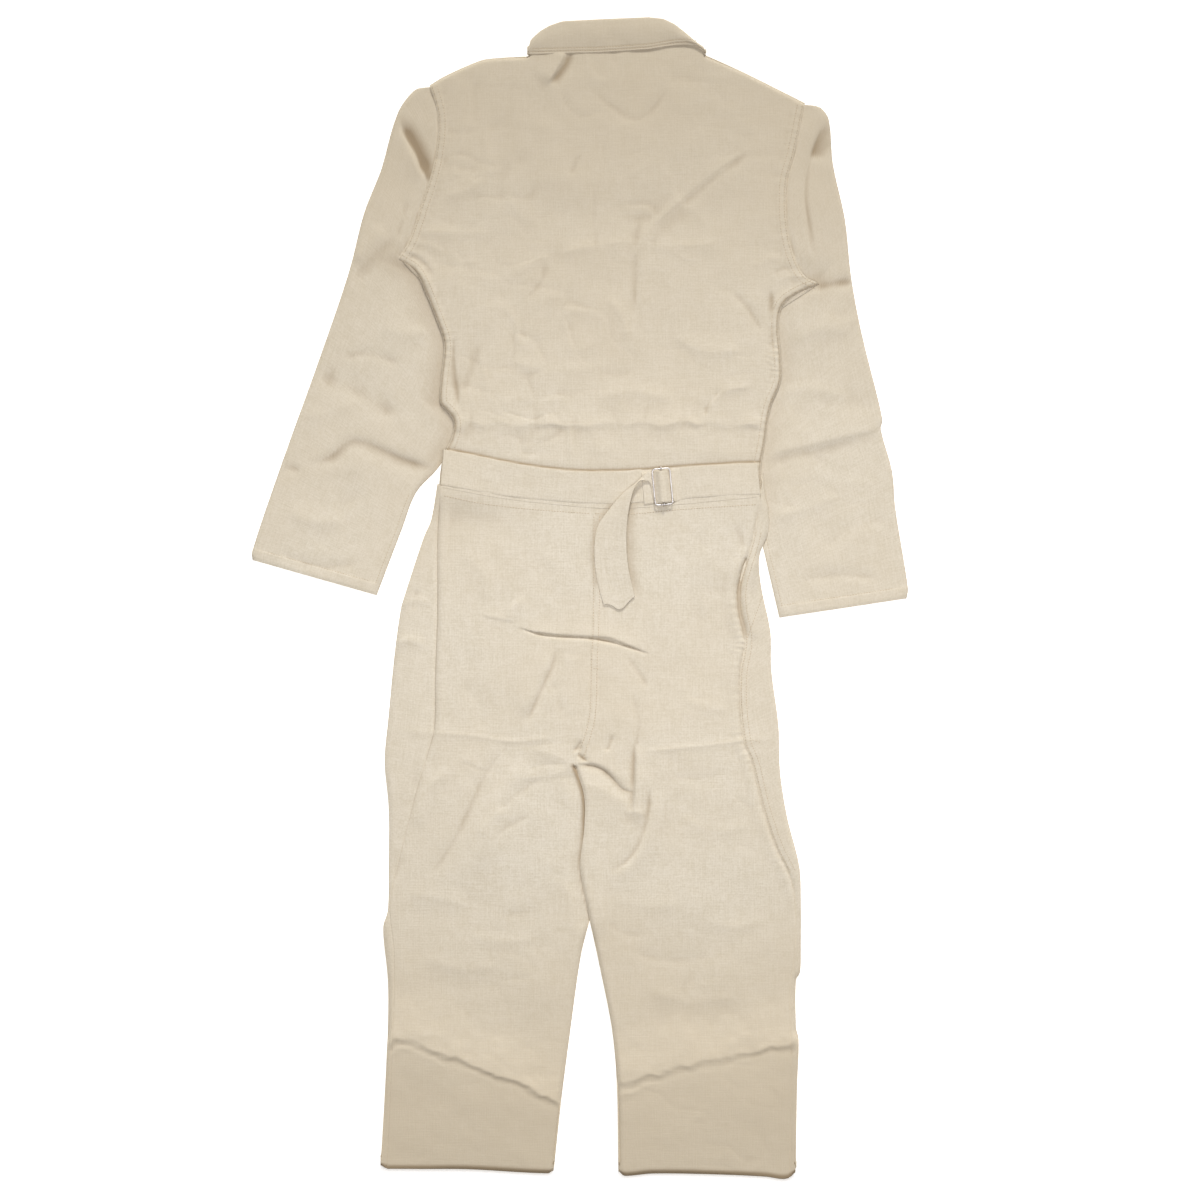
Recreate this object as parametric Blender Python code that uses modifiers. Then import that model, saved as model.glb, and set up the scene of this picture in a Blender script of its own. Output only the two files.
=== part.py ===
"""A long-sleeved jumpsuit laid flat on its front, so that its back shows.

The surface it lies on is z = 0. +Y points to the collar, +X to the right of the laid garment, and the
origin is under the middle of its outline. Tables are in millimetres; objects are made in metres.
Each cut piece is a cloth wall of its own. Layers, from the surface up: front, air, back. The sleeves
pass under the torso's sides, and the leg ends are folded under.
"""

import math

import bmesh
import bpy

MM = 0.001

# Cloth and layers
WALL = 1.2                # one ply of linen with its seam bulk
GAP = 0.3                 # between pieces at seams and between touching layers
AIR = 1.7                 # extra air between the front and the back, away from the seams
BELT_GAP = 0.9            # between the back and the belt that lies on it
BULGE = 40.0              # distance from a seam over which the air opens
TUBE_HEIGHT = 2 * WALL + GAP + AIR
FOLD_RADIUS = TUBE_HEIGHT / 2
SLEEVE_LIFT = TUBE_HEIGHT + GAP
LEG_LIFT = 3 * (WALL + GAP)

# Torso, measured up from the waist seam
TORSO_LEFT = [(-175, 139), (-174, 161), (-168, 184), (-160, 204), (-160, 232), (-175, 244),
              (-174, 273), (-170, 318), (-180, 350), (-193, 382), (-206, 408), (-229, 422)]
TORSO_RIGHT = [(229, 127), (226, 164), (231, 194), (238, 238), (251, 272), (251, 304), (248, 338),
               (252, 364), (268, 378), (300, 392)]
UNDERARM_POINTS = 4       # the last points of a torso side run along the sleeve, up to the armpit
ARMHOLE_LEFT = [(-229, 422), (-214, 446), (-200, 486), (-185, 533), (-178, 573), (-178, 606),
                (-188, 641)]
ARMHOLE_RIGHT = [(300, 392), (278, 406), (261, 452), (258, 516), (268, 556), (281, 619)]
SHOULDER_LEFT = [(-188, 641), (-170, 652), (-135, 668), (-116, 674), (-66, 677)]
SHOULDER_RIGHT = [(158, 678), (205, 657), (281, 619)]
BACK_NECK = [(-66, 677), (-40, 686), (5, 691), (50, 693), (100, 693), (136, 688), (158, 678)]
FRONT_NECK_LEFT = [(-66, 677), (6, 642), (17, 634)]
FRONT_NECK_RIGHT = [(73, 597), (119, 654), (158, 678)]
WAIST = [(-178, 139), (-94, 124), (12, 113), (58, 112), (125, 117), (231, 127)]
WAIST_END = {"left": 139.0, "right": 127.0}
WAIST_TOP = 130.0         # above it the sides are the torso's, below it the legs'
NECK_X = 46.0             # middle of the neck
NECK_HALF = 118.0         # half width of the chest that lies on the collar's points
NECK_FALL = 42.0          # beyond it the chest falls back over this width
NECK_RISE = (475.0, 528.0)     # heights over which the chest climbs onto the collar's points
SEAM_RISE = (380.0, 430.0)     # heights over which the air at the sides opens up to the armholes
PLACKET_X = (17.0, 73.0)
PLACKET_FLY = [(73, 112), (60, 0), (17, -100)]
PLACKET_HEIGHTS = (-96, -60, 0, 60, 112, 200, 300, 400, 470, 530)

# Sleeves
SLEEVE_LEFT_OUTER = [(-409, 48), (-410, 58), (-369, 179), (-330, 287), (-289, 407), (-270, 481),
                     (-252, 519), (-250, 537), (-228, 606), (-208, 634)]
SLEEVE_LEFT_INNER = [(-254, 4), (-222, 88), (-205, 132), (-178, 162), (-162, 188), (-150, 217),
                     (-150, 273), (-158, 310), (-181.5, 350)]
SLEEVE_RIGHT_OUTER = [(408, 0), (410, 12), (394, 113), (390, 159), (376, 211), (378, 224), (352, 331),
                      (339, 400), (331, 474), (316, 543), (311, 598), (301, 613)]
SLEEVE_RIGHT_INNER = [(249, -24), (230, 58), (221, 98), (218, 148), (220, 211), (230, 262), (239, 300),
                      (249.5, 338)]
SLEEVE_COVER = (32.0, 112.0)     # the torso is lifted this far in from its side, then falls
# Heights from which, over which, to which and beyond which a sleeve lies under the torso's side
COVER_LEFT = (95.0, 135.0, 345.0, 385.0)
COVER_RIGHT = (5.0, 45.0, 330.0, 368.0)
UNDERARM_GAP = 1.5        # between the sleeve and the torso's side just under the armpit
NEARLY_STRAIGHT = 0.05    # sine of a corner below which both edges share one offset
HOLLOW_REACH = 3.0        # how far the hollow's cutter passes the open ends

# Legs: outlines by height, sections from the waist down
LEG_OUTER_LEFT = [(-178, 143), (-186, 98), (-195, 77), (-219, 4), (-232, -73), (-239, -146), (-244, -203),
                  (-239, -332), (-240, -389), (-246, -411), (-240, -477), (-240, -536), (-249, -712)]
LEG_SEAM_LEFT = [(-173, 143), (-178, -14), (-182, -162), (-191, -197), (-204, -239), (-232, -361),
                 (-235, -389)]
LEG_OUTER_RIGHT = [(229, 156), (231, 129), (235, 111), (235, 83), (224, 53), (226, 17), (238, -42),
                   (239, -89), (248, -159), (250, -217), (259, -274), (274, -334), (276, -432),
                   (275, -467), (270, -473), (270, -536), (269, -726)]
LEG_SEAM_RIGHT = [(224, 156), (216, 77), (199, 17), (199, -14), (206, -52), (199, -126), (214, -203),
                  (245, -312), (270, -364)]
CENTRE_SEAM = [(15, 143), (14, -38), (10, -153), (-6, -208)]
LEG_SLIT = [(-6, -208), (5, -246), (5, -289), (0, -332), (4, -363), (12, -407)]
LEG_INNER_LEFT = [(12, -407), (1, -447), (-12, -539), (-24, -632), (-30, -720)]
LEG_INNER_RIGHT = [(12, -407), (25, -462), (40, -539), (46, -606), (48, -726)]
LEG_HEIGHTS = [100, 60, 0, -50, -100, -155, -208, -270, -335, -407, -480]
LEG_RIDGE = {"left": (-553, -626), "right": (-554, -604)}     # hidden hem: height outside, inside
LEG_FOLD = {"left": (-713, -718), "right": (-725.5, -720)}    # bottom fold: height outside, inside
LEG_STEP = 8.0            # half the length over which a leg climbs onto its folded end
MIN_STRIP = 5.0           # least width of front cloth that wraps onto the back
HEM_SETBACK = 3.0         # from the hidden hem to the step above it
FOLD_STEPS = 5            # facets round the bottom fold
RIM_INSET = 2.0           # from the leg's outline to the hidden plies' rim
FORK = -208.0             # height of the crotch

# Collar, across the neck: x where it turns at the left and right, for the leaf edge, the roll and the seam
LEAF_TURN = (-66.0, 158.0)
ROLL_TURN = (-59.0, 151.0)
STAND_TURN = (-60.0, 152.0)
COLLAR_RADIUS = 3.7
COLLAR_ROWS = (-62, -50, -30, 0, 46, 90, 110, 126, 142, 154)
STAND_GAP = 2.0           # between the stand and the neck seam
# x, leaf edge, roll
COLLAR_BACK = [(-66, 679, 697), (-50, 679, 708), (-30, 680, 717), (46, 682, 723), (110, 688, 725),
               (126, 691, 719), (142, 686, 708), (158, 680, 697)]
COLLAR_FRONT_LEFT = [(16, 570, 656), (6, 590, 664), (-30, 632, 688), (-66, 679, 697)]
COLLAR_FRONT_RIGHT = [(158, 680, 697), (119, 625, 678), (84, 560, 644), (74, 535, 634)]

# Belt and slider
BELT_LEFT_TOP = [(-168, 184), (-125, 177), (-88, 169), (-52, 164), (-25, 161), (11, 158), (46, 159),
                 (74, 160)]
BELT_LEFT_BOTTOM = [(-173, 144), (-120, 132), (-58, 124), (12, 119), (46, 118), (78, 118)]
BELT_RIGHT_TOP = [(219, 169), (178, 167), (150, 165.5), (128, 164)]
BELT_RIGHT_BOTTOM = [(222, 130), (178, 128), (150, 126), (132, 124.5)]
SLIDER_CENTRE = (103.0, 139.5)
SLIDER_TILT = math.radians(5.5)
SLIDER_WIDTH = 22.0       # between the middles of the side wires
SLIDER_LENGTH = 45.0
SLIDER_CORNER = 4.0
SLIDER_WIRE = 1.25        # radius
SLIDER_BAR = 1.0          # radius
SLIDER_HEIGHT = 10.75     # middle of the frame above the surface
BELT_HALF = 19.5
# Distance along the belt from the slider's middle, and height of the cloth's upper side
LOOP_PATH = [(-17, 6.1), (-9, 6.2), (-4, 8.6)]                                 # up to the bar
LOOP_ANGLES = (-90, -40, 10, 60, 100)                                          # round the bar
LOOP_BACK = [(-4, 11.8), (-8.6, 8.2), (-10.5, 7.7), (-17, 7.6), (-25, 7.9)]    # the ply turned back
STRAP_PATH = [(19, 6.8), (12.5, 9.0), (9.6, 9.2), (4, 13.8), (0, 14.75), (-4, 14.3), (-9.4, 9.5),
              (-12.5, 9.2)]
# The free tail: left edge x, y, z, then right edge x, y, z, upper side
TAIL = [(86, 158, 9.6, 88, 143, 9.3), (79, 152, 11.0, 81, 146, 10.6), (70, 143, 11.0, 73, 144, 10.8),
        (55, 129, 10.0, 64, 131, 9.0), (34, 107, 9.2, 59, 105, 8.0), (21, 88, 7.2, 58, 85, 6.8),
        (18, 66, 6.4, 58, 62, 6.4), (19, 42, 6.3, 60, 40, 6.3), (22, 20, 6.3, 64, 20, 6.3),
        (28, 0, 6.3, 67, 8, 6.3), (30, -8, 6.3, 69, 2, 6.3)]
TAIL_TIP = (52, -13)

LINEN = (0.730, 0.645, 0.515, 1.0)
STEEL = (0.72, 0.72, 0.74, 1.0)


def blend(low, high, value):
    """0 below low, 1 above high, smooth between."""
    part = min(max((value - low) / (high - low), 0.0), 1.0)
    return part * part * (3 - 2 * part)


def mix(a, b, part):
    return tuple(p + (q - p) * part for p, q in zip(a, b))


def along(points, count):
    """count + 1 points at equal lengths along a line of points."""
    lengths = [0.0]
    for a, b in zip(points, points[1:]):
        lengths.append(lengths[-1] + math.dist(a, b))
    found = []
    piece = 0
    for step in range(count + 1):
        target = lengths[-1] * step / count
        while piece < len(points) - 2 and lengths[piece + 1] < target:
            piece += 1
        part = (target - lengths[piece]) / (lengths[piece + 1] - lengths[piece])
        found.append(mix(points[piece], points[piece + 1], part))
    return found


def at(table, value, key=0):
    """The table's row at a value of its key column, between its rows, held at its ends."""
    rows = sorted(table, key=lambda row: row[key])
    value = min(max(value, rows[0][key]), rows[-1][key])
    for low, high in zip(rows, rows[1:]):
        if value <= high[key]:
            return mix(low, high, (value - low[key]) / max(high[key] - low[key], 1e-9))
    return rows[-1]


def edge_x(outline, y):
    return at(outline, y, key=1)[0]


def patch(left, right, bottom, top):
    """Rows of points that fill four sampled edges evenly."""
    rows = []
    for i, (a, b) in enumerate(zip(left, right)):
        v = i / (len(left) - 1)
        row = []
        for j, (low, high) in enumerate(zip(bottom, top)):
            u = j / (len(bottom) - 1)
            sides = mix(a, b, u)
            ends = mix(low, high, v)
            corners = mix(mix(bottom[0], bottom[-1], u), mix(top[0], top[-1], u), v)
            row.append(tuple(s + e - c for s, e, c in zip(sides, ends, corners)))
        rows.append(row)
    return rows


def sleeve_lift(x, y):
    """How far the torso is lifted by the sleeves that pass under its sides."""
    near, far = SLEEVE_COVER
    left = 1 - blend(near, far, x - edge_x(TORSO_LEFT, y))
    left *= blend(*COVER_LEFT[:2], y) * (1 - blend(*COVER_LEFT[2:], y))
    side = TORSO_RIGHT if y > WAIST_TOP else LEG_OUTER_RIGHT
    right = 1 - blend(near, far, edge_x(side, y) - x)
    right *= blend(*COVER_RIGHT[:2], y) * (1 - blend(*COVER_RIGHT[2:], y))
    return SLEEVE_LIFT * max(left, right)


def neck_lift(x, y):
    """How far the chest is lifted by the collar's points that lie under it."""
    inside = 1 - blend(NECK_HALF, NECK_HALF + NECK_FALL, abs(x - NECK_X))
    return (WALL + GAP) * inside * blend(*NECK_RISE, y)


def front_z(x, y):
    return sleeve_lift(x, y) + neck_lift(x, y)


def back_z(x, y):
    """Underside of the back, above the front, closing towards the side and shoulder seams."""
    inside = min(x - edge_x(TORSO_LEFT, y), edge_x(TORSO_RIGHT, y) - x)
    sides = blend(0, BULGE, inside) if y > WAIST_TOP else 1.0
    sides = max(sides, blend(*SEAM_RISE, y))
    drop = at(SHOULDER_LEFT + SHOULDER_RIGHT, x)[1] - y
    neck = 1 - blend(NECK_HALF, NECK_HALF + NECK_FALL, abs(x - NECK_X))
    shoulders = max(blend(0, BULGE, drop), neck)
    return front_z(x, y) + WALL + GAP + AIR * min(sides, shoulders)


def back_top(x, y):
    return back_z(x, y) + WALL


def material(name, colour, roughness, metallic):
    made = bpy.data.materials.new(name)
    made.use_nodes = True
    shader = made.node_tree.nodes["Principled BSDF"]
    shader.inputs["Base Color"].default_value = colour
    shader.inputs["Roughness"].default_value = roughness
    shader.inputs["Metallic"].default_value = metallic
    return made


def add(name, mesh, finish):
    piece = bpy.data.objects.new(name, mesh)
    piece.data.materials.append(finish)
    garment.objects.link(piece)
    return piece


def grid(rows, ring=False):
    """A grid moved onto rows of points, in millimetres; ring joins its first column to its last."""
    shape = bmesh.new()
    bmesh.ops.create_grid(shape, x_segments=len(rows[0]) - 1, y_segments=len(rows) - 1, size=1)
    order = sorted(shape.verts, key=lambda vert: (round(vert.co.y, 4), round(vert.co.x, 4)))
    for vert, point in zip(order, [point for row in rows for point in row]):
        vert.co = [value * MM for value in point]
    if ring:
        bmesh.ops.remove_doubles(shape, verts=shape.verts, dist=1e-6)
    return shape


def finished(name, shape):
    """The mesh of a bmesh, which is freed."""
    mesh = bpy.data.meshes.new(name)
    shape.to_mesh(mesh)
    shape.free()
    return mesh


def loft(name, rings):
    """A closed solid through rings of points, its ends filled."""
    shape = grid(rings, ring=True)
    bmesh.ops.holes_fill(shape, edges=shape.edges, sides=0)
    bmesh.ops.recalc_face_normals(shape, faces=shape.faces)
    return finished(name, shape)


def sheet(name, rows, finish, out=True):
    """A cloth wall on rows of points of its outer side; out says that the grid's normals point outward."""
    shape = grid(rows)
    if not out:
        bmesh.ops.reverse_faces(shape, faces=shape.faces)
    piece = add(name, finished(name, shape), finish)
    thick = piece.modifiers.new("Wall", "SOLIDIFY")
    thick.thickness = WALL * MM
    thick.offset = -1


def raised(plan, height):
    """Rows of plan points with the height of a surface added."""
    return [[(x, y, height(x, y)) for x, y in row] for row in plan]


def inset_edges(rows, left=0.0, right=0.0, bottom=0.0, top=0.0):
    """Rows of a patch with its edges moved in by the seam gaps."""
    for row in rows:
        row[0] = (row[0][0] + left, row[0][1])
        row[-1] = (row[-1][0] - right, row[-1][1])
    rows[0] = [(x, y + bottom) for x, y in rows[0]]
    rows[-1] = [(x, y - top) for x, y in rows[-1]]
    return rows


def torso_sides(side, armhole):
    underarm = side[-UNDERARM_POINTS:]
    return along(side[:1 - UNDERARM_POINTS], 9) + underarm[1:] + along(armhole, 6)[1:]


def centre_edge(x, top):
    """A front edge, in steps that match the torso's side below the armhole and the armhole above."""
    armpit = (x, 400)
    return along([(x, at(WAIST, x)[1]), armpit], 12) + along([armpit, (x, top)], 6)[1:]


def columns(*runs):
    """One edge from runs of (points, count), without the points they share."""
    joined = along(*runs[0])
    for run in runs[1:]:
        joined += along(*run)[1:]
    return joined


def waist_run(start, end, count):
    xs = [start + (end - start) * i / count for i in range(count + 1)]
    return [(x, at(WAIST, x)[1]) for x in xs]


def back_bodice():
    top = along(SHOULDER_LEFT, 5) + BACK_NECK[1:] + along(SHOULDER_RIGHT, 5)[1:]
    plan = patch(torso_sides(TORSO_LEFT, ARMHOLE_LEFT), torso_sides(TORSO_RIGHT, ARMHOLE_RIGHT),
                 waist_run(-175, 229, 16), top)
    inset_edges(plan, GAP, GAP, GAP, GAP)
    sheet("back_bodice", raised(plan, back_top), linen)


def front_bodices():
    left, right = PLACKET_X
    plan = patch(torso_sides(TORSO_LEFT, ARMHOLE_LEFT), centre_edge(left, 634),
                 waist_run(-175, left, 7), columns((SHOULDER_LEFT, 4), (FRONT_NECK_LEFT, 3)))
    inset_edges(plan, GAP, GAP, GAP, GAP)
    sheet("front_bodice_left", raised(plan, front_z), linen, out=False)
    plan = patch(centre_edge(right, 597), torso_sides(TORSO_RIGHT, ARMHOLE_RIGHT),
                 waist_run(right, 229, 7), columns((FRONT_NECK_RIGHT, 3), (SHOULDER_RIGHT, 4)))
    inset_edges(plan, GAP, GAP, GAP, GAP)
    sheet("front_bodice_right", raised(plan, front_z), linen, out=False)


def front_placket():
    """The covered opening's strip, flush with the fronts, narrowing to the end of the fly."""
    left, right = PLACKET_X
    rows = []
    for y in PLACKET_HEIGHTS:
        outer = at(PLACKET_FLY, y, key=1)[0] if y < PLACKET_FLY[0][1] else right
        rows.append([(x, y) for x in (left, (left + outer) / 2, outer)])
    rows.append(along([(left, FRONT_NECK_LEFT[-1][1] - 1), (right, FRONT_NECK_RIGHT[0][1])], 2))
    inset_edges(rows, 0.0, 0.0, 0.0, GAP)
    sheet("front_placket", raised(rows, front_z), linen, out=False)


def moved_in(outline, distances):
    """A closed outline, anticlockwise, with each edge moved inward by its distance."""
    count = len(outline)
    found = []
    for i in range(count):
        before, here, after = outline[i - 1], outline[i], outline[(i + 1) % count]
        lines = []
        for start, end, distance in ((before, here, distances[i - 1]), (here, after, distances[i])):
            span = math.dist(start, end)
            along_x, along_y = (end[0] - start[0]) / span, (end[1] - start[1]) / span
            lines.append((-along_y, along_x, distance))
        (ax, ay, a), (bx, by, b) = lines
        cross = ax * by - ay * bx
        if abs(cross) < NEARLY_STRAIGHT:
            shift = ((ax * a + bx * b) / 2, (ay * a + by * b) / 2)
        else:
            shift = ((a * by - b * ay) / cross, (b * ax - a * bx) / cross)
        found.append((here[0] + shift[0], here[1] + shift[1]))
    return found


def sleeve_rings(outline, folded, radius, inset, reach):
    """Outlines of a flattened tube at five heights: rounded at its folds, square at its open ends."""
    rings = []
    for degrees in (-90, -45, 0, 45, 90):
        angle = math.radians(degrees)
        distance = inset + radius * (1 - math.cos(angle))
        plan = moved_in(outline, [distance if fold else -reach for fold in folded])
        ring = [(x, y, FOLD_RADIUS + radius * math.sin(angle)) for x, y in plan]
        rings.append(ring + [ring[0]])
    return rings


def sleeve(name, inner, outer, torso, armhole, sign):
    """A flattened tube, open at the cuff and the armhole, its inner edge under the torso's side."""
    side = torso[1 - UNDERARM_POINTS:]
    underarm = [(x + sign * UNDERARM_GAP, y - UNDERARM_GAP) for x, y in side]
    seam = [(x + sign * 3 * GAP, y) for x, y in along(armhole, 6)]
    sides = inner + underarm[:-1], seam, list(reversed(outer))
    outline = [point for side in sides for point in side]
    folded = [True] * len(sides[0]) + [False] * (len(seam) - 1) + [True] * len(outer) + [False]
    if sign > 0:
        outline.reverse()
        folded = list(reversed(folded[:-1])) + folded[-1:]
    mesh = loft(name, sleeve_rings(outline, folded, FOLD_RADIUS, 0.0, 0.0))
    inner_rings = sleeve_rings(outline, folded, FOLD_RADIUS - WALL, WALL, HOLLOW_REACH)
    hollow = loft(name + "_hollow", inner_rings)
    piece = add(name, mesh, linen)
    cutter = bpy.data.objects.new(name + "_hollow", hollow)
    cutters.objects.link(cutter)
    cutter.hide_render = True
    cutter.display_type = "WIRE"
    cut = piece.modifiers.new("Hollow", "BOOLEAN")
    cut.operation = "DIFFERENCE"
    cut.solver = "EXACT"
    cut.object = cutter


def leg_sections(side):
    """Height outside, height inside and lift of each section, from the waist to the bottom fold."""
    outside, inside = LEG_RIDGE[side]
    fold_outside, fold_inside = LEG_FOLD[side]
    rows = [(y, y, 0.0) for y in LEG_HEIGHTS]
    rows.append((outside + LEG_STEP, inside + LEG_STEP, 0.0))
    rows.append((outside - LEG_STEP, inside - LEG_STEP, LEG_LIFT))
    rows.append(((outside + fold_outside) / 2, (inside + fold_inside) / 2, LEG_LIFT))
    return rows


def leg_lines(side):
    """The side's outer, seam and inner outlines."""
    if side == "left":
        return LEG_OUTER_LEFT, LEG_SEAM_LEFT, CENTRE_SEAM + LEG_SLIT[1:] + LEG_INNER_LEFT[1:]
    return LEG_OUTER_RIGHT, LEG_SEAM_RIGHT, CENTRE_SEAM + LEG_SLIT[1:] + LEG_INNER_RIGHT[1:]


def seam_x(side, y):
    """The side seam on the back, at least the smallest strip in from the outer fold."""
    outer, seam, _ = leg_lines(side)
    strip = FOLD_RADIUS + MIN_STRIP
    edge = edge_x(outer, y)
    if side == "left":
        return max(edge + strip, edge_x(seam, y) if y > seam[-1][1] else edge)
    return min(edge - strip, edge_x(seam, y) if y > seam[-1][1] else edge)


def leg_row(side, start, end, heights, count):
    """Plan points across a leg between two x functions, from the inner edge out."""
    outside, inside = heights
    xs = (start(inside), end(outside))
    points = []
    for i in range(count + 1):
        part = i / count
        points.append((xs[0] + (xs[1] - xs[0]) * part, inside + (outside - inside) * part))
    return points


def back_leg(side):
    sign = -1 if side == "left" else 1
    _, _, inner = leg_lines(side)
    total = LEG_LIFT + TUBE_HEIGHT
    radius = total / 2

    def start(y):
        return edge_x(inner, y) + sign * GAP

    def end(y):
        return seam_x(side, y) - sign * GAP

    def across(heights):
        return leg_row(side, start, end, heights, 7)

    def surface(x, y, lift):
        closing = blend(0, BULGE, abs(x - edge_x(inner, y))) if y < FORK else 1.0
        return sleeve_lift(x, y) + lift + TUBE_HEIGHT - AIR * (1 - closing)

    waist = [(x, at(WAIST, x)[1] - GAP) for x, y in across((WAIST_END[side], WAIST_END[side]))]
    rows = [[(x, y, surface(x, y, 0.0)) for x, y in waist]]
    for outside, inside, lift in leg_sections(side):
        rows.append([(x, y, surface(x, y, lift)) for x, y in across((outside, inside))])
    outside, inside = LEG_FOLD[side]
    bottom = across((outside + radius, inside + radius))
    for step in range(FOLD_STEPS + 1):
        angle = math.pi * step / FOLD_STEPS
        drop, z = radius * math.sin(angle), radius + radius * math.cos(angle)
        rows.append([(x, y - drop, z) for x, y in bottom])
    hem = [height - LEG_STEP - HEM_SETBACK for height in LEG_RIDGE[side]]
    for part in (0.5, 1.0):
        heights = mix((outside, inside), hem, part)
        rows.append([(x, y, 0.0) for x, y in across(heights)])
    sheet("back_leg_" + side, rows, linen, out=side == "left")


def front_leg(side):
    sign = -1 if side == "left" else 1
    outer, _, inner = leg_lines(side)

    def start(y):
        if y < PLACKET_FLY[-1][1]:
            return edge_x(inner, y) + sign * GAP
        return (at(PLACKET_FLY, y, key=1)[0] if side == "right" else PLACKET_X[0]) + sign * GAP

    def end(y):
        return edge_x(outer, y) - sign * FOLD_RADIUS

    rows = []
    sections = [(WAIST_END[side], WAIST_END[side], 0.0)] + leg_sections(side)
    outside, inside = LEG_FOLD[side]
    clear = WALL + 3 * GAP + LEG_LIFT
    sections.append((outside + clear, inside + clear, LEG_LIFT))
    for number, (high, low, lift) in enumerate(sections):
        flat = leg_row(side, start, end, (high, low), 7)
        if number == 0:
            flat = [(x, at(WAIST, x)[1] - GAP) for x, y in flat]
        x, y = flat[-1]
        base = lift + sleeve_lift(x, y)
        row = [(px, py, lift + sleeve_lift(px, py)) for px, py in flat]
        for step in (1, 2, 3):
            angle = math.pi * (step / 4 - 0.5)
            rise = FOLD_RADIUS * (1 + math.sin(angle))
            row.append((x + sign * FOLD_RADIUS * math.cos(angle), y, base + rise))
        seam = seam_x(side, y)
        for step in range(3):
            px = x + (seam - x) * step / 2
            py = at(WAIST, px)[1] - GAP if number == 0 else y
            row.append((px, py, lift + sleeve_lift(px, py) + TUBE_HEIGHT))
        rows.append(row)
    sheet("front_leg_" + side, rows, linen, out=side == "right")


def leg_fold(side):
    """The two hidden plies of a turned-under leg end, one rounded slab with the plies' line at its rim."""
    sign = -1 if side == "left" else 1
    outer, _, inner = leg_lines(side)
    outside, inside = LEG_FOLD[side]
    ridge_outside, ridge_inside = LEG_RIDGE[side]
    low = WALL + GAP
    high = LEG_LIFT - GAP
    middle = (low + high) / 2
    # distance in from the rim, height
    profile = [(1.2, low), (0.0, low + 0.5), (0.0, middle - 0.2), (4.0, middle), (0.0, middle + 0.2),
               (0.0, high - 0.5), (1.2, high)]
    rise = (LEG_LIFT + TUBE_HEIGHT) / 2 + 2 * GAP
    bottom = (outside + rise, inside + rise)
    top = (ridge_outside - LEG_STEP - RIM_INSET * 2, ridge_inside - LEG_STEP - RIM_INSET * 2)
    rings = []
    for part in (0.0, 0.35, 0.7, 1.0):
        y_out, y_in = mix(bottom, top, part)
        x_out = edge_x(outer, y_out) - sign * RIM_INSET
        x_in = edge_x(inner, y_in) + sign * RIM_INSET
        ring = [(x_in + sign * depth, y_in, z) for depth, z in reversed(profile)]
        ring += [(x_out - sign * depth, y_out, z) for depth, z in profile]
        rings.append(ring + [ring[0]])
    add("leg_fold_" + side, loft("leg_fold_" + side, rings), linen)


def collar():
    """The leaf turned down over its stand, in one strip round the flattened neck."""
    path = [(x, -90, at(COLLAR_FRONT_LEFT, x)) for x in (16, -5, -25, -45, -62)]
    path += [(LEAF_TURN[0], angle, COLLAR_BACK[0]) for angle in (-135, 180, 135)]
    path += [(x, 90, at(COLLAR_BACK, x)) for x in COLLAR_ROWS]
    path += [(LEAF_TURN[1], angle, COLLAR_BACK[-1]) for angle in (45, 0, -45)]
    path += [(x, -90, at(COLLAR_FRONT_RIGHT, x)) for x in (154, 135, 110, 90, 74)]
    roll = WALL + GAP
    front_neck = FRONT_NECK_LEFT + FRONT_NECK_RIGHT
    rows = []
    for x, angle, (_, leaf, top) in path:
        neck = BACK_NECK if angle > -90 else front_neck
        angle = math.radians(angle)
        # distance out from the strip's middle, height, place: leaf edge 0, roll 1, seam 2
        hairpin = [(COLLAR_RADIUS, leaf, 0.0), (COLLAR_RADIUS, (leaf + top - roll) / 2, 0.5),
                   (COLLAR_RADIUS, top - roll, 1.0)]
        for step in (1, 2):
            turn = math.pi * step / 3
            depth = COLLAR_RADIUS - roll + roll * math.cos(turn)
            hairpin.append((depth, top - roll + roll * math.sin(turn), 1.0))
        hairpin.append((COLLAR_RADIUS - 2 * roll, top - roll, 1.0))
        hairpin.append((COLLAR_RADIUS - 2 * roll, None, 2.0))
        share = (x - LEAF_TURN[0]) / (LEAF_TURN[1] - LEAF_TURN[0])
        row = []
        for offset, y, zone in hairpin:
            if zone <= 1:
                turns = mix(LEAF_TURN, ROLL_TURN, zone)
            else:
                turns = mix(ROLL_TURN, STAND_TURN, zone - 1)
            middle = turns[0] + COLLAR_RADIUS + (turns[1] - turns[0] - 2 * COLLAR_RADIUS) * share
            px = middle + offset * math.cos(angle)
            py = at(neck, px)[1] + STAND_GAP if y is None else y
            row.append((px, py, COLLAR_RADIUS + offset * math.sin(angle)))
        rows.append(row)
    sheet("collar", rows, linen, out=False)


def slider_point(distance, across, z):
    """A point by its distance along the belt from the slider's middle and its distance across the belt."""
    x, y = SLIDER_CENTRE
    cosine, sine = math.cos(SLIDER_TILT), math.sin(SLIDER_TILT)
    return (x + distance * cosine - across * sine, y + distance * sine + across * cosine, z)


def strap_row(distance, z):
    return [slider_point(distance, BELT_HALF * part, z) for part in (-1, -0.33, 0.33, 1)]


def resting_row(low, high):
    """A row across the belt that follows the garment under it."""
    row = []
    for part in (0, 0.33, 0.67, 1):
        x, y = mix(low, high, part)
        row.append((x, y, back_top(x, y) + BELT_GAP + WALL))
    return row


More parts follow.
